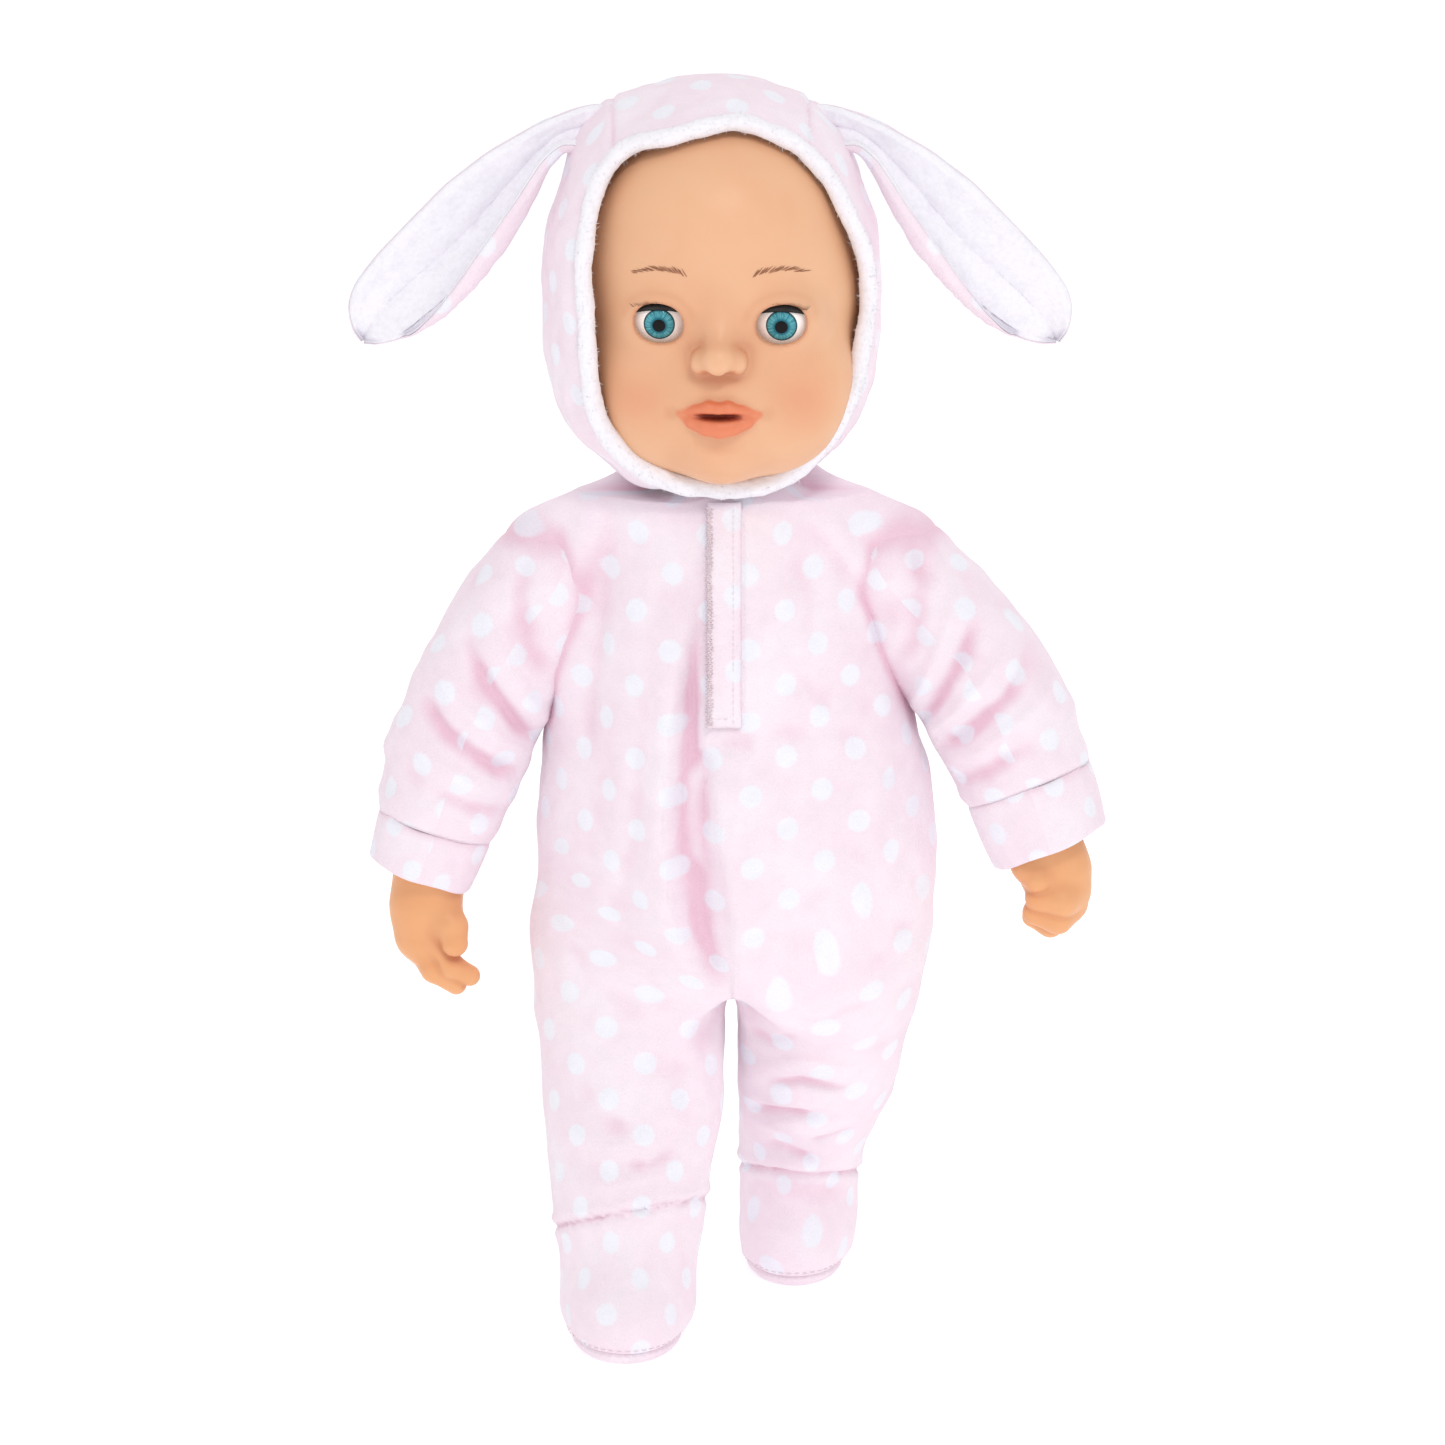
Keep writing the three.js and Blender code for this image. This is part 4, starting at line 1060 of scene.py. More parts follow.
def leg_field(p, name):
    side = SIDES[name]
    run, away = leg_frame(p, name)
    d = smax((away - np.interp(run, LEG_RUN, LEG_R[name])) * 0.97, run - 100, 6)
    d = smax(d, -run - 10, 14)
    ax, ay, ankle = ANKLES[name]
    fx, fy, half, reach = FEET[name]
    d = smin(d, capsule(p, (ax, ay, 40), (ax, ay, 12), ankle, ankle + 0.3), 8)
    d = smin(d, ellipsoid(p, (fx, fy, 10), (half, reach, 19)), 8)
    d = smax(d, 2.6 - p[:, 2], 3.0)
    limit = (p[:, 0] - 1.6) if side < 0 else (4.8 - p[:, 0])
    return smax(d, limit, 3.0)


def panel_local(p):
    q = p - np.array([0, PANEL_Y, PANEL_Z])
    c, s = math.cos(PANEL_TILT), math.sin(PANEL_TILT)
    return np.stack([q[:, 0], q[:, 1] * c + q[:, 2] * s, -q[:, 1] * s + q[:, 2] * c], 1)


def panel_world(p):
    p = np.asarray(p, float)
    c, s = math.cos(PANEL_TILT), math.sin(PANEL_TILT)
    return np.stack([p[:, 0], p[:, 1] * c - p[:, 2] * s, p[:, 1] * s + p[:, 2] * c], 1) + [0, PANEL_Y, PANEL_Z]


def body_field(p):
    d = smin(leg_field(p, "right"), leg_field(p, "left"), 2.0)
    d = smin(torso_field(p), d, 13)
    q = panel_local(p)
    w, h = PANEL_W + 0.9, PANEL_H + 0.9
    return smax(d, -block(q, (-w, -24, -h), (w, 30, h), 2.0), 1.5)


# Folds of the romper as seen from the front: its body, and then each leg
BODY_FOLDS = [
    ([(-9, 236), (-13, 205), (-15.5, 180), (-16, 160), (-14.5, 141), (-11, 124), (-4, 106)],
     (2.0, 10), 5.6, 0.3),
    ([(-7, 222), (-8.5, 190), (-8.5, 160), (-6, 130), (0.5, 104)], (4.6, 5.2), -5.0, 0.2),
    ([(-3.5, 190), (-0.5, 165), (3.5, 135), (6.5, 108)], (10, 2.2), 3.4, 0.25),
    ([(-35, 262), (-42, 242), (-48, 205), (-50, 180)], (3.0, 4.5), 2.6, 0.3),
    ([(-29, 258), (-35, 238), (-39, 205), (-41, 170)], 3.6, -1.8, 0.3),
    ([(-22, 250), (-27, 215), (-30, 170), (-29, 130)], (6, 5), 1.7),
    ([(-20, 205), (-24, 160), (-36, 120)], 4.0, -1.0, 0.4),
    ([(24, 258), (34, 246), (47, 226)], (4, 3), 1.8),
    ([(19, 254), (24, 236), (27, 205)], 4.0, -0.9),
    ([(50, 215), (45, 180), (46, 140)], (5, 4), 1.3),
    ([(38, 150), (30, 120), (18, 100)], (6, 6), 1.0),
    ([(12, 103), (30, 97), (48, 106)], 3.0, -1.2),
    ([(-50, 128), (-40, 112), (-22, 100)], 4.0, -0.8),
]
RIGHT_LEG_FOLDS = [
    ([(-34, 96), (-22, 80), (-9, 62)], (3.5, 6), 1.7),
    ([(-46, 84), (-38, 72), (-24, 64)], 4.2, -1.4),
    ([(-50, 66), (-36, 62), (-14, 66)], (2.5, 3.8), 1.2),
    ([(-31, 57), (-22, 56), (-12, 60)], 2.2, -1.5),
    ([(-50, 50), (-34, 51), (-8, 60)], (2.2, 3.0), 1.1),
    ([(-16, 98), (-8, 84), (-4, 66)], 3.0, 1.0),
]
LEFT_LEG_FOLDS = [
    ([(4, 92), (14, 88), (26, 92)], 2.4, -1.3),
    ([(6, 78), (24, 80), (46, 74)], (1.7, 3.4), 1.7),
    ([(8, 71), (24, 73), (44, 68)], 2.8, -2.3),
    ([(5, 66), (22, 66), (44, 62)], (1.6, 2.8), 1.7),
    ([(6, 60), (18, 61), (32, 60)], 2.3, -2.2),
    ([(5, 54), (20, 55), (40, 52)], (1.7, 2.5), 1.5),
    ([(24, 49), (34, 52), (44, 54)], 1.5, -1.4),
    ([(10, 49), (20, 45), (32, 39)], 2.6, -2.0),
    ([(6, 43), (20, 40), (38, 34)], (1.8, 2.0), 1.1),
]
# The same from behind, with the seams in the middle
REAR_FOLDS = mirrored([
    ([(44, 226), (41, 180), (45, 140)], (4, 5), 1.5),
    ([(30, 120), (18, 112), (4, 118)], 3.5, -1.8),
    ([(46, 104), (28, 94), (8, 98)], (2.5, 4.5), 1.6),
    ([(46, 72), (28, 68), (10, 74)], 3.2, -1.5),
    ([(44, 60), (26, 60), (8, 64)], 3.0, 1.3),
    ([(14, 258), (20, 240), (22, 226)], 3.0, 1.1),
]) + [([(0, 262), (0, 226)], 0.9, -0.9, 0.0), ([(0.5, 138), (0.5, 100)], 1.0, -1.1, 0.0)]


def clothes_push(p, n):
    """How far the cloth stands out from its padding, as folds seen from the front and from behind."""
    q = p[:, [0, 2]]
    legs = np.where(p[:, 0] < 1, folds(q, RIGHT_LEG_FOLDS), folds(q, LEFT_LEG_FOLDS))
    front, back = step(0.05, 0.6, -n[:, 1]), step(0.1, 0.6, n[:, 1])
    d = (folds(q, BODY_FOLDS) + legs) * front + folds(q, REAR_FOLDS) * back
    return d + 0.45 * waves(p, 34, 21) + 0.28 * waves(p, 13, 22)


def ankle_gap(p, name):
    """Height above the seam between leg and bootie."""
    if name == "right":
        return p[:, 2] - (45 + 0.20 * (p[:, 0] + 29.6) - 0.36 * (p[:, 1] + 48))
    return p[:, 2] - (36 - 0.06 * (p[:, 0] - 24) - 0.24 * (p[:, 1] - 15))


def seat_way(side):
    """The direction in which a leg leaves the seat."""
    return np.array([side * math.sin(SEAT_TILT), 0, -math.cos(SEAT_TILT)])


def hole_gap(p, side):
    """Distance below the plane where a leg leaves the seat."""
    return (p - SEAT) @ seat_way(side)


verts, faces = net(body_field, [-66, -66, -1], [66, 64, 267], 1.3)
normal = normals(verts, faces)
local = panel_local(verts)
clear = step(0.5, 7, block(local, (-PANEL_W - 1, -26, -PANEL_H - 1), (PANEL_W + 1, 30, PANEL_H + 1)))
strip = step(0, 4, np.maximum(np.abs(verts[:, 0] - 0.6) - 6, np.maximum(187 - verts[:, 2], verts[:, 2] - 252))
             + 60 * (normal[:, 1] > 0))
push = clothes_push(verts, normal) * clear * (0.12 + 0.88 * strip)
belly = bell((verts[:, 0] + 3) / 26, (verts[:, 2] - 156) / 38)
push += 2.4 * belly * (normal[:, 1] < 0) * strip
over_sensor = 1 - step(13, 20, np.hypot(verts[:, 0], verts[:, 2] - 166))
push += over_sensor * (np.maximum(push, -0.6) - push)
beside = step(4.4, 5.9, verts[:, 0]) * (1 - step(9, 32, verts[:, 0])) * step(188, 198, verts[:, 2])
push += 2.5 * beside * (1 - step(250, 258, verts[:, 2])) * (normal[:, 1] < 0)
is_left = verts[:, 0] > CROTCH[0]
for name, side in SIDES.items():
    here = is_left if side > 0 else ~is_left
    gap = ankle_gap(verts, name)
    pucker = 1 + 0.35 * waves(verts, 5, 41)
    seam = (-1.3 * pucker * bell(gap / 0.9) + 0.9 * bell((gap - 2.8) / 1.7)
            + 0.35 * bell((gap + 2.6) / 1.6))
    push += np.where(here & (verts[:, 2] < 90), seam, 0)
low = step(0, 5, verts[:, 2] - 3.5)
verts = relaxed(verts + normal * (push * (0.2 + 0.8 * low))[:, None], faces, 1, 0.3)
# The neckline stays under the edge of the hood as the head turns
from_neck = np.hypot(verts[:, 0] - HEAD[0], verts[:, 1] - HEAD[1])
neckline = 259.4 - 4.0 * step(16, 26, from_neck)
verts[:, 2] -= (1 - step(4, 14, verts[:, 1])) * np.maximum(verts[:, 2] - neckline, 0)
normal = normals(verts, faces)
# Painted shade in the hollows of the cloth and along the armholes, where sleeve and body meet
armhole = np.minimum(np.abs(arm_field(verts, "right")), np.abs(arm_field(verts, "left")))
painted_shade = np.clip(hollows(verts, faces, 14, 1.1) + 0.9 * bell(armhole / 1.7), 0, 1)

# Places on the cloth: round the body from the middle of the front, and round each leg from its own front
table_t = np.linspace(0, math.pi, 400)
arc = np.hypot(np.diff(np.sin(table_t)), np.diff(np.cos(table_t)) * TORSO_DEPTH)
table_s = np.concatenate([[0], np.cumsum(arc)])
t = np.arctan2(np.abs(verts[:, 0]), -(verts[:, 1] - TORSO_Y) / TORSO_DEPTH)
sx = np.sign(verts[:, 0] + 1e-9)
trunk_u = sx * np.interp(t, table_t, table_s) * torso_r(np.maximum(verts[:, 2], 120))
uv = np.stack([trunk_u, verts[:, 2]], 1)
for name, side in SIDES.items():
    run, _ = leg_frame(verts, name)
    off = verts - HIP * [side, 1, 1] - run[:, None] * LEG_WAY[name]
    phi = np.arctan2(side * off[:, 0], -off[:, 1])
    phi = np.where(phi < -math.pi / 2, phi + 2 * math.pi, phi)
    leg_uv = np.stack([side * (HIP[0] + LEG_ROUND * phi), HIP[2] - run], 1)
    share = step(-14, 16, hole_gap(verts, side)) * (is_left if side > 0 else ~is_left)
    uv = uv * (1 - share[:, None]) + leg_uv * share[:, None]

corner = verts[faces].mean(1)
face_left = corner[:, 0] > CROTCH[0]
below = np.where(face_left, hole_gap(corner, 1), hole_gap(corner, -1)) > 0
leg_face = below & (np.abs(corner[:, 0] - CROTCH[0]) > 1.0)
low_face = np.where(face_left, ankle_gap(corner, "left"), ankle_gap(corner, "right")) < 0
low_face &= corner[:, 2] < 80
groups = {"romper_body_cloth": ~leg_face}
for name, side in SIDES.items():
    here = leg_face & (face_left if side > 0 else ~face_left)
    groups["romper_leg_cloth_" + name] = here & ~low_face
    groups["bootie_cloth_" + name] = here & low_face
for key, chosen in groups.items():
    out, ff, shade, used = shell(verts, faces[chosen], normal, 1.1)
    wrap = 2 * TRUNK_HALF if key == "romper_body_cloth" else 2 * math.pi * LEG_ROUND
    obj = piece(key, out, ff, VELOUR, uv=np.tile(uv[used], (2, 1)), wrap=wrap, shade=shade,
                paint={"painted_shade": np.tile(painted_shade[used], 2)})
    name = key.rsplit("_", 1)[1]
    if key == "romper_body_cloth":
        put(obj, "torso", "velour_pink", "romper_torso", "torso_stuffing", fill=0.7)
    elif key.startswith("romper_leg"):
        bend(obj,
             ["romper_leg_" + name, "leg_stuffing_" + name])
    else:
        put(obj, "leg_" + name, "velour_pink", "bootie_" + name, fill=0.7)


# Soles: ovals of plain velour with a rolled edge and a line of stitches ---------------------
def oval(cx, cy, rx, ry, z, count=160):
    a = circle(count)
    return np.stack([cx + rx * np.cos(a), cy + ry * np.sin(a), np.full(count, z)], 1)


def stitches(path, every, length, radius, lift=0.0, closed=False):
    """Short rounded stitches along a path, each dipping into the cloth at both ends."""
    path = np.asarray(path, float)
    if closed:
        path = np.concatenate([path, path[:1]])
    spans = lengths(path)
    parts = []
    for start in np.arange(0, spans[-1] - length, every):
        u = start + np.linspace(0, length, 6)
        at = np.stack([np.interp(u, spans, path[:, i]) for i in range(3)], 1)
        parts.append((at, np.sin(np.linspace(0, math.pi, 6))))
    return [tube(at + lift * rise[:, None], radius * (0.45 + 0.55 * rise), 6) for at, rise in parts]


for name in SIDES:
    fx, fy, half, reach = FEET[name]
    rings = []
    for inset, z in ((6, 0.25), (2.2, 0.0), (0.7, 0.35), (0.0, 1.2),
                     (0.1, 2.4), (0.9, 3.3), (2.2, 3.7), (7, 3.8)):
        ring = oval(fx, fy, half - 2.2 - inset, reach - 2.4 - inset, z)
        ring[:, 2] += 0.12 * waves(ring[:, :2], 4, 51) if z > 1 else 0
        rings.append(ring)
    sole = lofted(np.array(rings))
    thread = stitches(oval(fx, fy, half - 0.7, reach - 0.9, 4.6), 2.6, 1.7, 0.2, closed=True)
    obj = piece("sole_pad_" + name, *sole, VELOUR_PLAIN, uv=sole[0][:, :2])
    put(obj, "leg_" + name, "velour_pink", "sole_" + name, fill=0.9)
    put(piece("sole_stitches_" + name, *gathered(thread), THREAD), "leg_" + name, "velour_pink")


# Sleeves, cuffs ---------------------------------------------------------------------------
def around_arm(name, run, radius, turn):
    """Points round an arm: turn 0 is its front and a quarter turn its outer side."""
    middle, front, outer = arm_line(name, run)
    return middle[:, None] + radius[..., None] * (np.cos(turn)[..., None] * front[:, None]
                                                  + np.sin(turn)[..., None] * outer[:, None])


def rolled_edge(r0, r1, a, b):
    """Radius and run round the section of a cuff, from its seam at a to its end at b, 2 mm thick."""
    def between(share, inwards=0.0):
        return (1 - share) * r0 + share * r1 - inwards, a + share * (b - a)

    outside = [(r0 - 0.9, a - 0.6), (r0 - 0.2, a + 0.1), (r0, a + 2.0), between(0.4), between(0.7),
               (r1, b - 2.3), (r1, b - 0.8), (r1 - 0.7, b)]
    inside = [(r1 - 1.5, b - 0.5), (r1 - 2.0, b - 2.3), between(0.7, 2.0), between(0.4, 2.0),
              (r0 - 2.1, a + 1.0), (r0 - 1.8, a - 0.3)]
    return np.array(outside + inside)


# Folds of a sleeve, laid flat: across from the middle of its front, and down from the shoulder
SLEEVE_FOLDS = [
    ([(-29, 42), (-12, 35), (4, 24), (18, 10)], (3.6, 2.4), 2.2),
    ([(-29, 49), (-13, 43), (3, 34), (17, 24)], (2.6, 2.0), -3.0),
    ([(-28, 54), (-9, 50), (9, 42), (26, 31)], (3.4, 2.4), 2.4),
    ([(-28, 60), (-12, 59), (6, 53), (22, 43)], (2.8, 2.0), -2.7),
    ([(-27, 66), (-8, 66), (12, 60), (30, 50)], (3.6, 2.4), 1.9),
    ([(-26, 72), (-10, 73), (10, 70)], 2.2, -1.3),
    ([(-20, 24), (-4, 20), (8, 8), (14, -8)], 3.0, -1.5),
    ([(14, 76), (28, 64), (40, 46)], 3.4, 1.1),
]
SLEEVE_FLAT_R, SLEEVE_FLAT_RUN = 18.5, 84.0  # the sleeve that the folds are laid out for
REAR_SLEEVE_FOLDS = [([(math.pi * SLEEVE_FLAT_R - a, b + 4) for a, b in points], width, height * 0.7)
                     for points, width, height in SLEEVE_FOLDS]
SHOULDER_R = 20.3

for name, side in SIDES.items():
    _, _, at_run, at_radius, seam, end = SLEEVES[name]
    n = 112
    turn = circle(n)
    cap = np.linspace(0.06, math.pi / 2, 10)[:-1]
    length = np.linspace(0, seam, 84)
    last = eased(seam, at_run, at_radius)
    runs = np.concatenate([-20 * np.cos(cap), length, [seam - 1, seam - 14]])
    base = np.concatenate([SHOULDER_R * np.sin(cap), eased(length, at_run, at_radius),
                           [last - 1.2, last - 1.6]])
    turns = np.tile(turn, (len(runs), 1))
    rr = np.tile(base[:, None], (1, n))
    across = np.where(turn > math.pi, turn - 2 * math.pi, turn) * SLEEVE_FLAT_R
    at = np.stack([np.tile(across, (len(runs), 1)).ravel(), np.repeat(runs * SLEEVE_FLAT_RUN / seam, n)], 1)
    behind = at.copy()
    behind[:, 0] += np.where(at[:, 0] < -SLEEVE_FLAT_R * math.pi / 2, 2 * math.pi * SLEEVE_FLAT_R, 0)
    d = folds(at, SLEEVE_FOLDS) + folds(behind, REAR_SLEEVE_FOLDS)
    mask = step(-16, 2, at[:, 1]) * (1 - step(78, 84, at[:, 1]))
    three = around_arm(name, runs, rr, turns).reshape(-1, 3)
    d = d * mask + (0.5 * waves(three, 24, 63) + 0.3 * waves(three, 10, 64)) * mask
    d += 0.6 * bell((at[:, 1] - 79) / 3.4) - 0.3 * bell((at[:, 1] - 84) / 1.3)
    d[-2 * n:] = 0
    rings = around_arm(name, runs, rr + d.reshape(rr.shape), turns)
    # Painted shade in the valleys of the sleeve's folds and where the sleeve meets the body
    hollow = np.clip(-d / 2.2, 0, 1) + 0.9 * bell(torso_field(rings.reshape(-1, 3)) / 1.7)
    v, f = lofted(rings)
    if side < 0:
        f = [q[::-1] for q in f]
    round_arm = (turns * SLEEVE_ROUND * side).ravel()
    uv = np.concatenate([np.stack([round_arm, -np.repeat(runs, n)], 1), [[0, 20], [0, -80]]])
    obj = piece("sleeve_cloth_" + name, v, f, VELOUR, uv=uv, wrap=2 * math.pi * SLEEVE_ROUND,
                paint={"painted_shade": np.append(np.clip(hollow, 0, 1), [0, 0])})
    put(obj, "arm_" + name, "velour_pink", "sleeve_" + name, "arm_stuffing_" + name, fill=0.5)

    # Cuff: a folded band, rolled at both edges
    outline = rolled_edge(last, eased(end, at_run, at_radius), seam, end)
    turns = np.tile(turn, (len(outline), 1))
    radius = (outline[:, :1] + 0.3 * np.sin(3 * turns + side) + 0.2 * np.sin(7 * turns + 2)
              + 0.1 * np.sin(15 * turns))
    rings = around_arm(name, outline[:, 1], radius, turns)
    rings = rings + (0.4 * np.sin(2 * turns + 1) + 0.25 * np.sin(5 * turns))[..., None] * ARM_WAY[name]
    v, f = looped(rings, flip=side < 0)
    reach = lengths(outline)
    uv = np.stack([(turns * SLEEVE_ROUND * side).ravel() + 5, -np.repeat(reach, n) - SLEEVE_FLAT_RUN], 1)
    # Painted shade along the cuff's seam
    rim = bell(outline[:, 1] - seam) * 0.4
    obj = piece("cuff_cloth_" + name, v, f, VELOUR, uv=uv, wrap=2 * math.pi * SLEEVE_ROUND,
                paint={"painted_shade": np.repeat(rim, n)})
    obj.modifiers.new("round", "SUBSURF").levels = 1
    obj.modifiers["round"].render_levels = 1
    put(obj, "arm_" + name, "velour_pink", "sleeve_cuff_" + name, fill=0.6)


# Hands: stations of the palm and of each finger -------------------------------------------
HANDS = {
    "right": ([((-86.0, -7, 150), 10.8), ((-88.5, -7, 140), 9.9), ((-90, -7, 129), 9.8), ((-91, -7, 120), 8.6)],
              [[((-86.5, -11.5, 119), 3.8), ((-82, -13, 111.5), 3.6), ((-76.6, -13, 108.6), 3.2)],
               [((-90.5, -10, 117), 3.9), ((-87.5, -11.5, 110), 3.7), ((-80.8, -12, 105.6), 3.2)],
               [((-92.5, -6, 116.5), 3.8), ((-88.6, -6.5, 109.5), 3.5), ((-82.5, -7.5, 105.8), 3.0)],
               [((-93, -2, 118), 3.4), ((-89.5, -2, 111.5), 3.1), ((-84, -3.5, 108.8), 2.7)],
               [((-86, -10, 131), 5.0), ((-81.8, -14.2, 124.5), 4.7), ((-80.8, -16.4, 119.8), 4.0)]]),
    "left": ([((94.5, -11, 153), 11.3), ((98.5, -12, 145), 10.2), ((102, -12, 137), 9.7),
              ((103, -12, 129.5), 8.8)],
             [[((107.5, -13.5, 131), 4.2), ((103.5, -20, 129.6), 4.4), ((96.5, -19.5, 130.4), 4.0)],
              [((107, -11.5, 126), 4.1), ((102.5, -18, 123.6), 4.2), ((95.6, -17.5, 125.6), 3.8)],
              [((105.5, -8, 123.6), 3.8), ((100.5, -13.5, 120.8), 3.8), ((95.4, -13, 123), 3.4)],
              [((103.5, -4.5, 124), 3.3), ((99.5, -8.8, 121.6), 3.3), ((96, -8.5, 124), 3.0)],
              [((97, -14, 145), 4.6), ((93.4, -17.6, 140.2), 4.6), ((95.8, -21.2, 136.6), 3.8)]]),
}
HAND_MOVE = {"right": np.zeros(3), "left": np.array([-1.5, 0.0, 4.3])}
for name, (palm, fingers) in HANDS.items():
    def hand_field(p):
        return smin(chain(p, palm, 5), joined((chain(p, finger) for finger in fingers), 0.7), 3.2)

    everything = np.array([q for path in [palm, *fingers] for q, _ in path])
    v, f = net(hand_field, everything.min(0) - 13, everything.max(0) + 13, 0.6)
    facing = normals(v, f)
    crease = sum(np.clip(1 - hand_field(v + facing * h) / h, 0, 1) for h in (1.5, 4.0))
    obj = piece("hand_skin_" + name, v + HAND_MOVE[name], f, HAND_VINYL, paint={"shade": np.clip(crease, 0, 1)})
    put(obj, "arm_" + name, "vinyl_skin", "hand_" + name)


# Placket ---------------------------------------------------------------------------------
def onto_chest(x, z):
    """Points on the chest's padding at the given places seen from the front."""
    return pressed(body_field, x, z, 40, -3, 3, 0.75)


def strip_piece(name, x0, x1, z0, z1, inner, outer, material, columns=15, rows=70, seed=71, drop=0.0):
    s, t = np.meshgrid(np.linspace(0, 1, rows), np.linspace(0, 1, columns), indexing="ij")
    s, t = s.ravel(), t.ravel()
    x, z = x0 + (x1 - x0) * t, z0 + (z1 - z0) * s
    side = 1 - np.abs(2 * t - 1)
    end = np.minimum(s, 1 - s) * (z1 - z0) / 3
    full = np.sqrt(np.clip(np.minimum(side * 3.2, end), 0, 1))
    flat = np.stack([x, z], 1)
    ripple = (outer - inner) * 0.16 * waves(flat, 9, seed) + (outer - inner) * 0.1 * waves(flat, 4, seed + 1)
    middle = (inner + outer) / 2 - drop * np.maximum(step(0.8, 1.0, t), 1 - step(0.0, 0.04, s))
    thick = (outer - inner) / 2 * (0.45 + 0.55 * full)
    front = onto_chest(x, z)
    back = front.copy()
    front[:, 1] -= middle + thick + ripple * full
    back[:, 1] -= middle - thick
    _, ff, _, _ = shell(front, grid_faces(rows, columns), front, 0)
    uv = np.concatenate([flat, flat]) + [3, 6]
    return piece(name, np.concatenate([front, back]), ff[:, ::-1], material, uv=uv)


px0, px1, pz0, pz1 = PLACKET
flap_top = pz1 + 6.5
TAPE = plush("fastening_tape", CREAM, 0.5)
flap = strip_piece("placket_cloth", px0, px1, pz0, flap_top, 1.5, 2.9, VELOUR, drop=1.0)
put(flap, "placket", "velour_pink", "placket_flap")
for kind, body, inner, outer, below in (("hook", "placket", 0.9, 1.4, "loop_tape_cloth"),
                                        ("loop", "torso", 0.1, 0.75, "romper_body_cloth")):
    tape = strip_piece(kind + "_tape_cloth", px0 + 1.2, px1 - 2, pz0 + 3, pz1 - 3, inner, outer, TAPE)
    put(tape, body, "fastening_tape", kind + "_tape")

# Overlocked edge: a zigzag of thread over the free edge, and its fuzz
parts = []
rng = np.random.default_rng(81)
z = np.arange(pz0 + 0.5, pz1 + 5.5, 0.55)
zig = np.where(np.arange(len(z)) % 2 == 0, px0 - 0.35, px0 + 1.5) + rng.uniform(-0.15, 0.15, len(z))
dense_z = np.repeat(z, 3)[:-2] + np.tile([0, 0.18, 0.36], len(z))[:len(z) * 3 - 2]
dense_x = np.interp(dense_z, z, zig)
edge_path = onto_chest(dense_x, dense_z)
edge_path[:, 1] -= 2.9 + 0.15 * np.cos((dense_x - px0 - 0.5) * 2.2)
parts.append(tube(edge_path, 0.24, 6))
roots = edge_path[rng.integers(0, len(edge_path), 900)]
ways = np.stack([rng.uniform(lo, hi, len(roots)) for lo, hi in ((-1.2, 0.5), (-1, 0.1), (-0.6, 0.6))], 1)
ways = unit(ways)
parts.append(fibres(roots, ways, 0.9, 0.07, 82))
v, f = gathered(parts)
put(piece("placket_overlock", v, f, THREAD), "placket", "plush_white")
hem = onto_chest(np.linspace(px0 + 0.8, px1 - 2.4, 10), np.full(10, pz0 + 3.0))
side_line = onto_chest(np.full(60, px1 - 2.4), np.linspace(pz0 + 1.6, pz1 + 5, 60))
thread = [part for row in (hem, side_line)
          for part in stitches(row - [0, 2.95, 0], 1.9, 1.3, 0.16, np.array([0, -0.12, 0]))]
put(piece("placket_stitches", *gathered(thread), THREAD), "placket", "velour_pink")

# Back panel ------------------------------------------------------------------------------
w, h = PANEL_W + 1.3, PANEL_H + 1.3
a = circle(240)
c, s = np.cos(a), np.sin(a)
grow = (np.abs(c) ** 7 + np.abs(s) ** 7) ** (-1 / 7)
frame_path = np.stack([w * grow * c, np.zeros(240), h * grow * s], 1)
away = unit(frame_path)
rings = []
# The binding's section: how far out from the frame's line and how far behind the back's face
for out, y in ((-1.1, 0.2), (-1.2, 1.0), (-0.6, 1.8), (0.4, 2.1), (1.6, 1.9),
               (2.4, 1.2), (2.6, 0.2), (2.3, -5.5), (0.9, -5.8), (-1.0, -1.4)):
    ring = frame_path + away * out
    ring[:, 1] = y + 0.12 * np.sin(a * 61) * (y > 0)
    rings.append(panel_world(ring))
v, f = looped(np.array(rings), flip=True)
uv = np.stack([np.tile(a * BINDING_ROUND, len(rings)), np.repeat(np.arange(len(rings)) * 1.2, len(a))], 1)
binding = piece("panel_binding_cloth", v, f, VELOUR_PLAIN, uv=uv, wrap=2 * math.pi * BINDING_ROUND)
put(binding, "torso", "plush_white", "panel_binding", fill=0.8)
line = frame_path * [1.03, 1, 1.025]
line[:, 1] = 2.25
thread = stitches(panel_world(line), 2.4, 1.7, 0.18, np.array([0, 0.15, 0]), closed=True)
put(piece("panel_stitches", *gathered(thread), THREAD), "torso", "plush_white")

# CAD pieces that keep their shape get their finish, and the bay, door, switch and screw a small rounding
WHITE_ABS = moulded("plastic_white", rgb(238, 238, 234), 0.42, 0.4)
GREY_ABS = moulded("plastic_grey", rgb(140, 142, 148), 0.5, 0.4)
STEEL = moulded("steel", rgb(190, 192, 196), 0.32, 0.8, metal=1.0)
BOARD = moulded("circuit_green", rgb(36, 112, 64), 0.45, 0.8)
CONE = moulded("speaker_black", rgb(34, 34, 36), 0.6, 0.5)
CELL = moulded("battery_can", rgb(58, 108, 82), 0.35, 0.8, metal=0.4)
finish = {"neck_flange": VINYL, "neck_tie": WHITE_ABS, "mouth_sensor": GREY_ABS, "sensor_case": GREY_ABS,
          "sensor_button": WHITE_ABS, "battery_bay": WHITE_ABS, "battery_door": WHITE_ABS,
          "battery_screw": STEEL, "battery_contacts_top": STEEL, "battery_contacts_bottom": STEEL,
          "power_switch": GREY_ABS, "circuit_board": BOARD, "speaker": CONE, "sound_box_cover": WHITE_ABS,
          "battery_1": CELL, "battery_2": CELL, "battery_3": CELL}
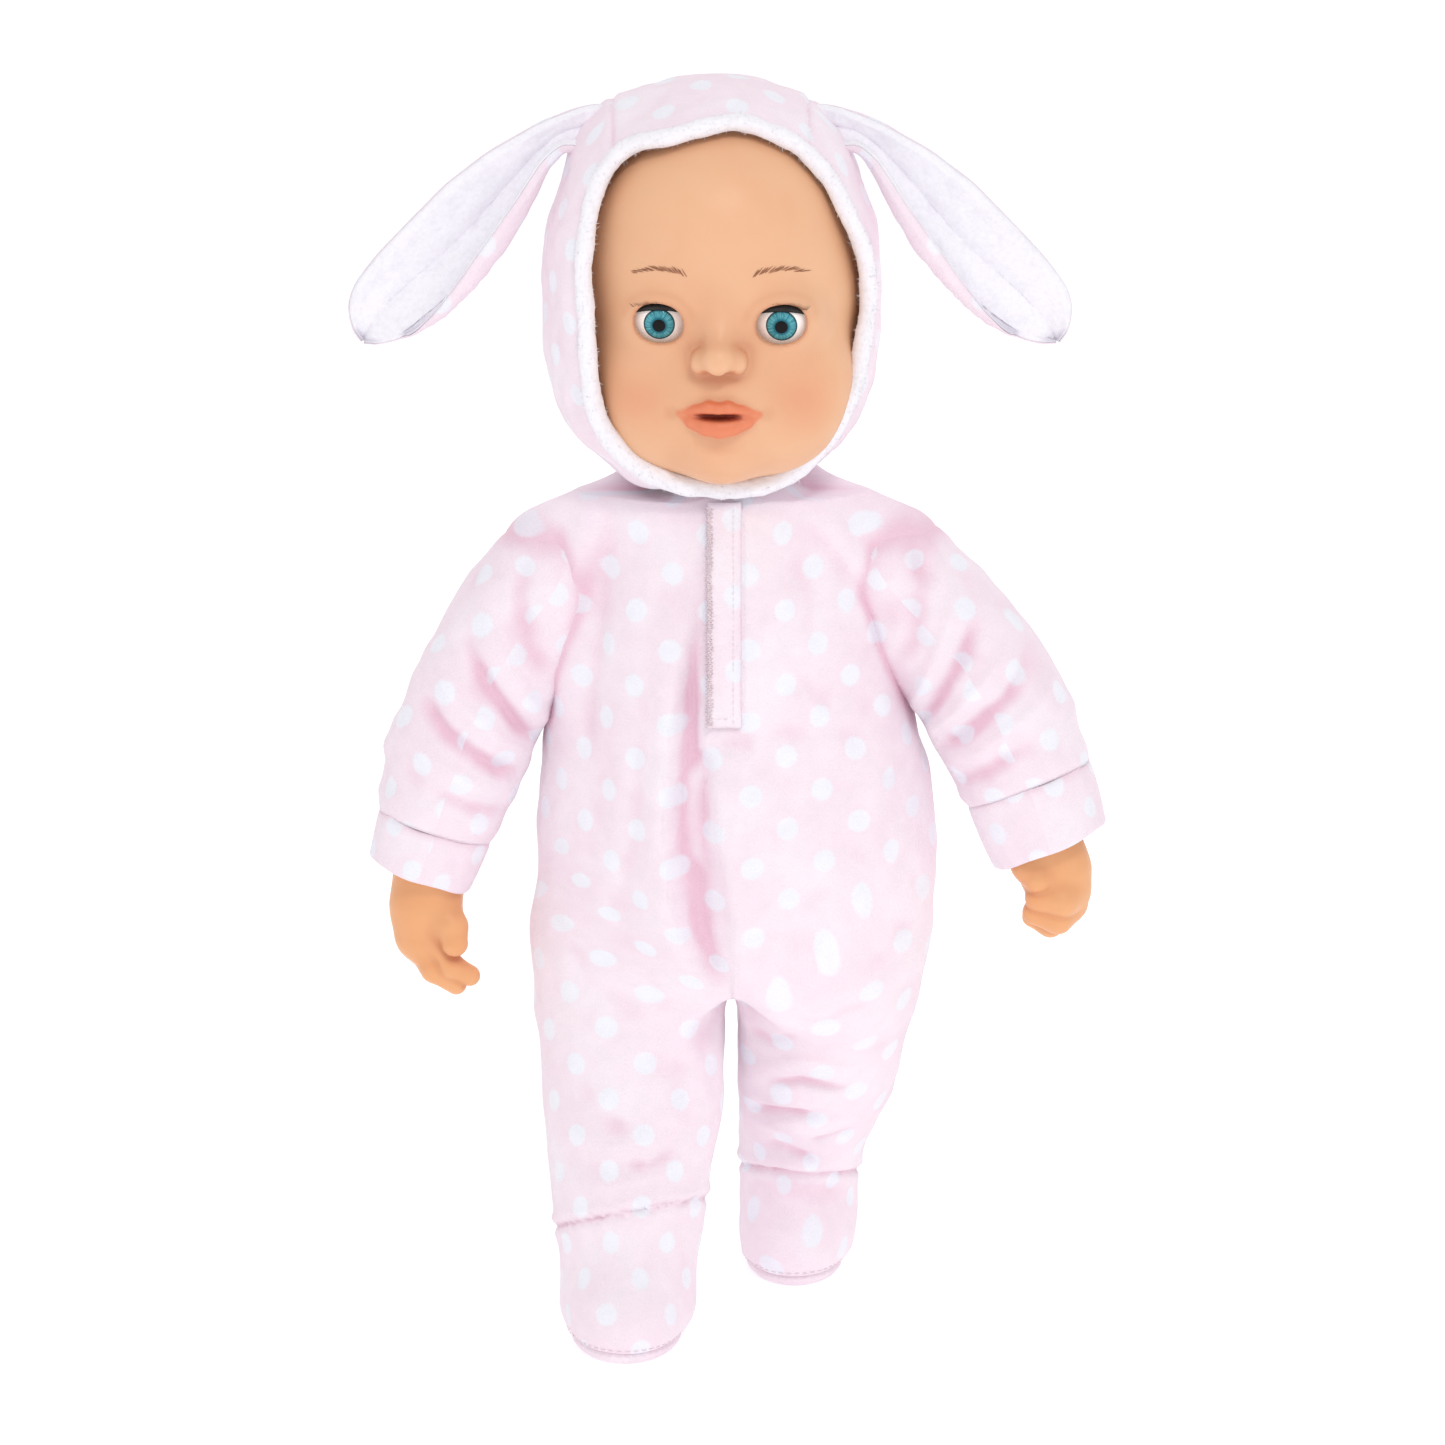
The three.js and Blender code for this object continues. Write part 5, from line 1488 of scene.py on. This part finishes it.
for name in SIDES:
    finish["eye_case_" + name] = WHITE_ABS
    finish["eye_weight_" + name] = STEEL
for name, material in finish.items():
    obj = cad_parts[name]
    for i in range(len(obj.material_slots)):
        obj.material_slots[i].link = "OBJECT"
        obj.material_slots[i].material = material
    if name in ("battery_bay", "battery_door", "power_switch", "battery_screw"):
        bevel = obj.modifiers.new("edge", "BEVEL")
        bevel.width, bevel.segments, bevel.limit_method = 0.0004, 2, "ANGLE"

# Floor, light, camera --------------------------------------------------------------------
floor_paint = Paint("floor", Roughness=0.6, Specular_IOR_Level=0.2)
tint = floor_paint.mix(floor_paint.noise(floor_paint.place(), 400, 2), rgb(250, 250, 252), rgb(252, 252, 253))
floor_paint.shader.inputs["Emission Color"].default_value = (1, 1, 1, 1)
floor_paint.shader.inputs["Emission Strength"].default_value = 0.3
mat = floor_paint.done(tint)
n = 24
xs = np.linspace(-6000, 6000, n)
gx, gy = np.meshgrid(xs, xs, indexing="ij")
floor = piece("floor", np.stack([gx.ravel(), gy.ravel(), np.full(n * n, -0.3)], 1), grid_faces(n, n), mat)

scene = bpy.context.scene
scene.view_settings.view_transform = "Standard"
world = bpy.data.worlds.new("studio")
world.use_nodes = True
world.node_tree.nodes["Background"].inputs[0].default_value = (1, 1, 1, 1)
world.node_tree.nodes["Background"].inputs[1].default_value = 0.80
scene.world = world


def lamp(name, place, aim, size, power, colour=(1, 1, 1)):
    light = bpy.data.lights.new(name, "AREA")
    light.shape, light.size, light.energy, light.color = "DISK", size, power, colour
    obj = bpy.data.objects.new(name, light)
    obj.location = place
    obj.rotation_euler = (Vector(aim) - Vector(place)).to_track_quat("-Z", "Y").to_euler()
    bpy.context.collection.objects.link(obj)


lamp("key", (0.25, -1.15, 1.35), (0, 0, 0.2), 0.3, 5.2, (1, 0.99, 0.98))
lamp("back", (0.2, 1.1, 1.0), (0, 0, 0.25), 0.8, 2.0)

camera = bpy.data.objects.new("camera", bpy.data.cameras.new("camera"))
camera.data.lens, camera.data.sensor_width = 136.45, 36
camera.data.clip_end = 50
camera.location = (0, -1.6, 0.6)
camera.rotation_euler = (math.radians(75.44), 0, 0)
bpy.context.collection.objects.link(camera)
scene.camera = camera
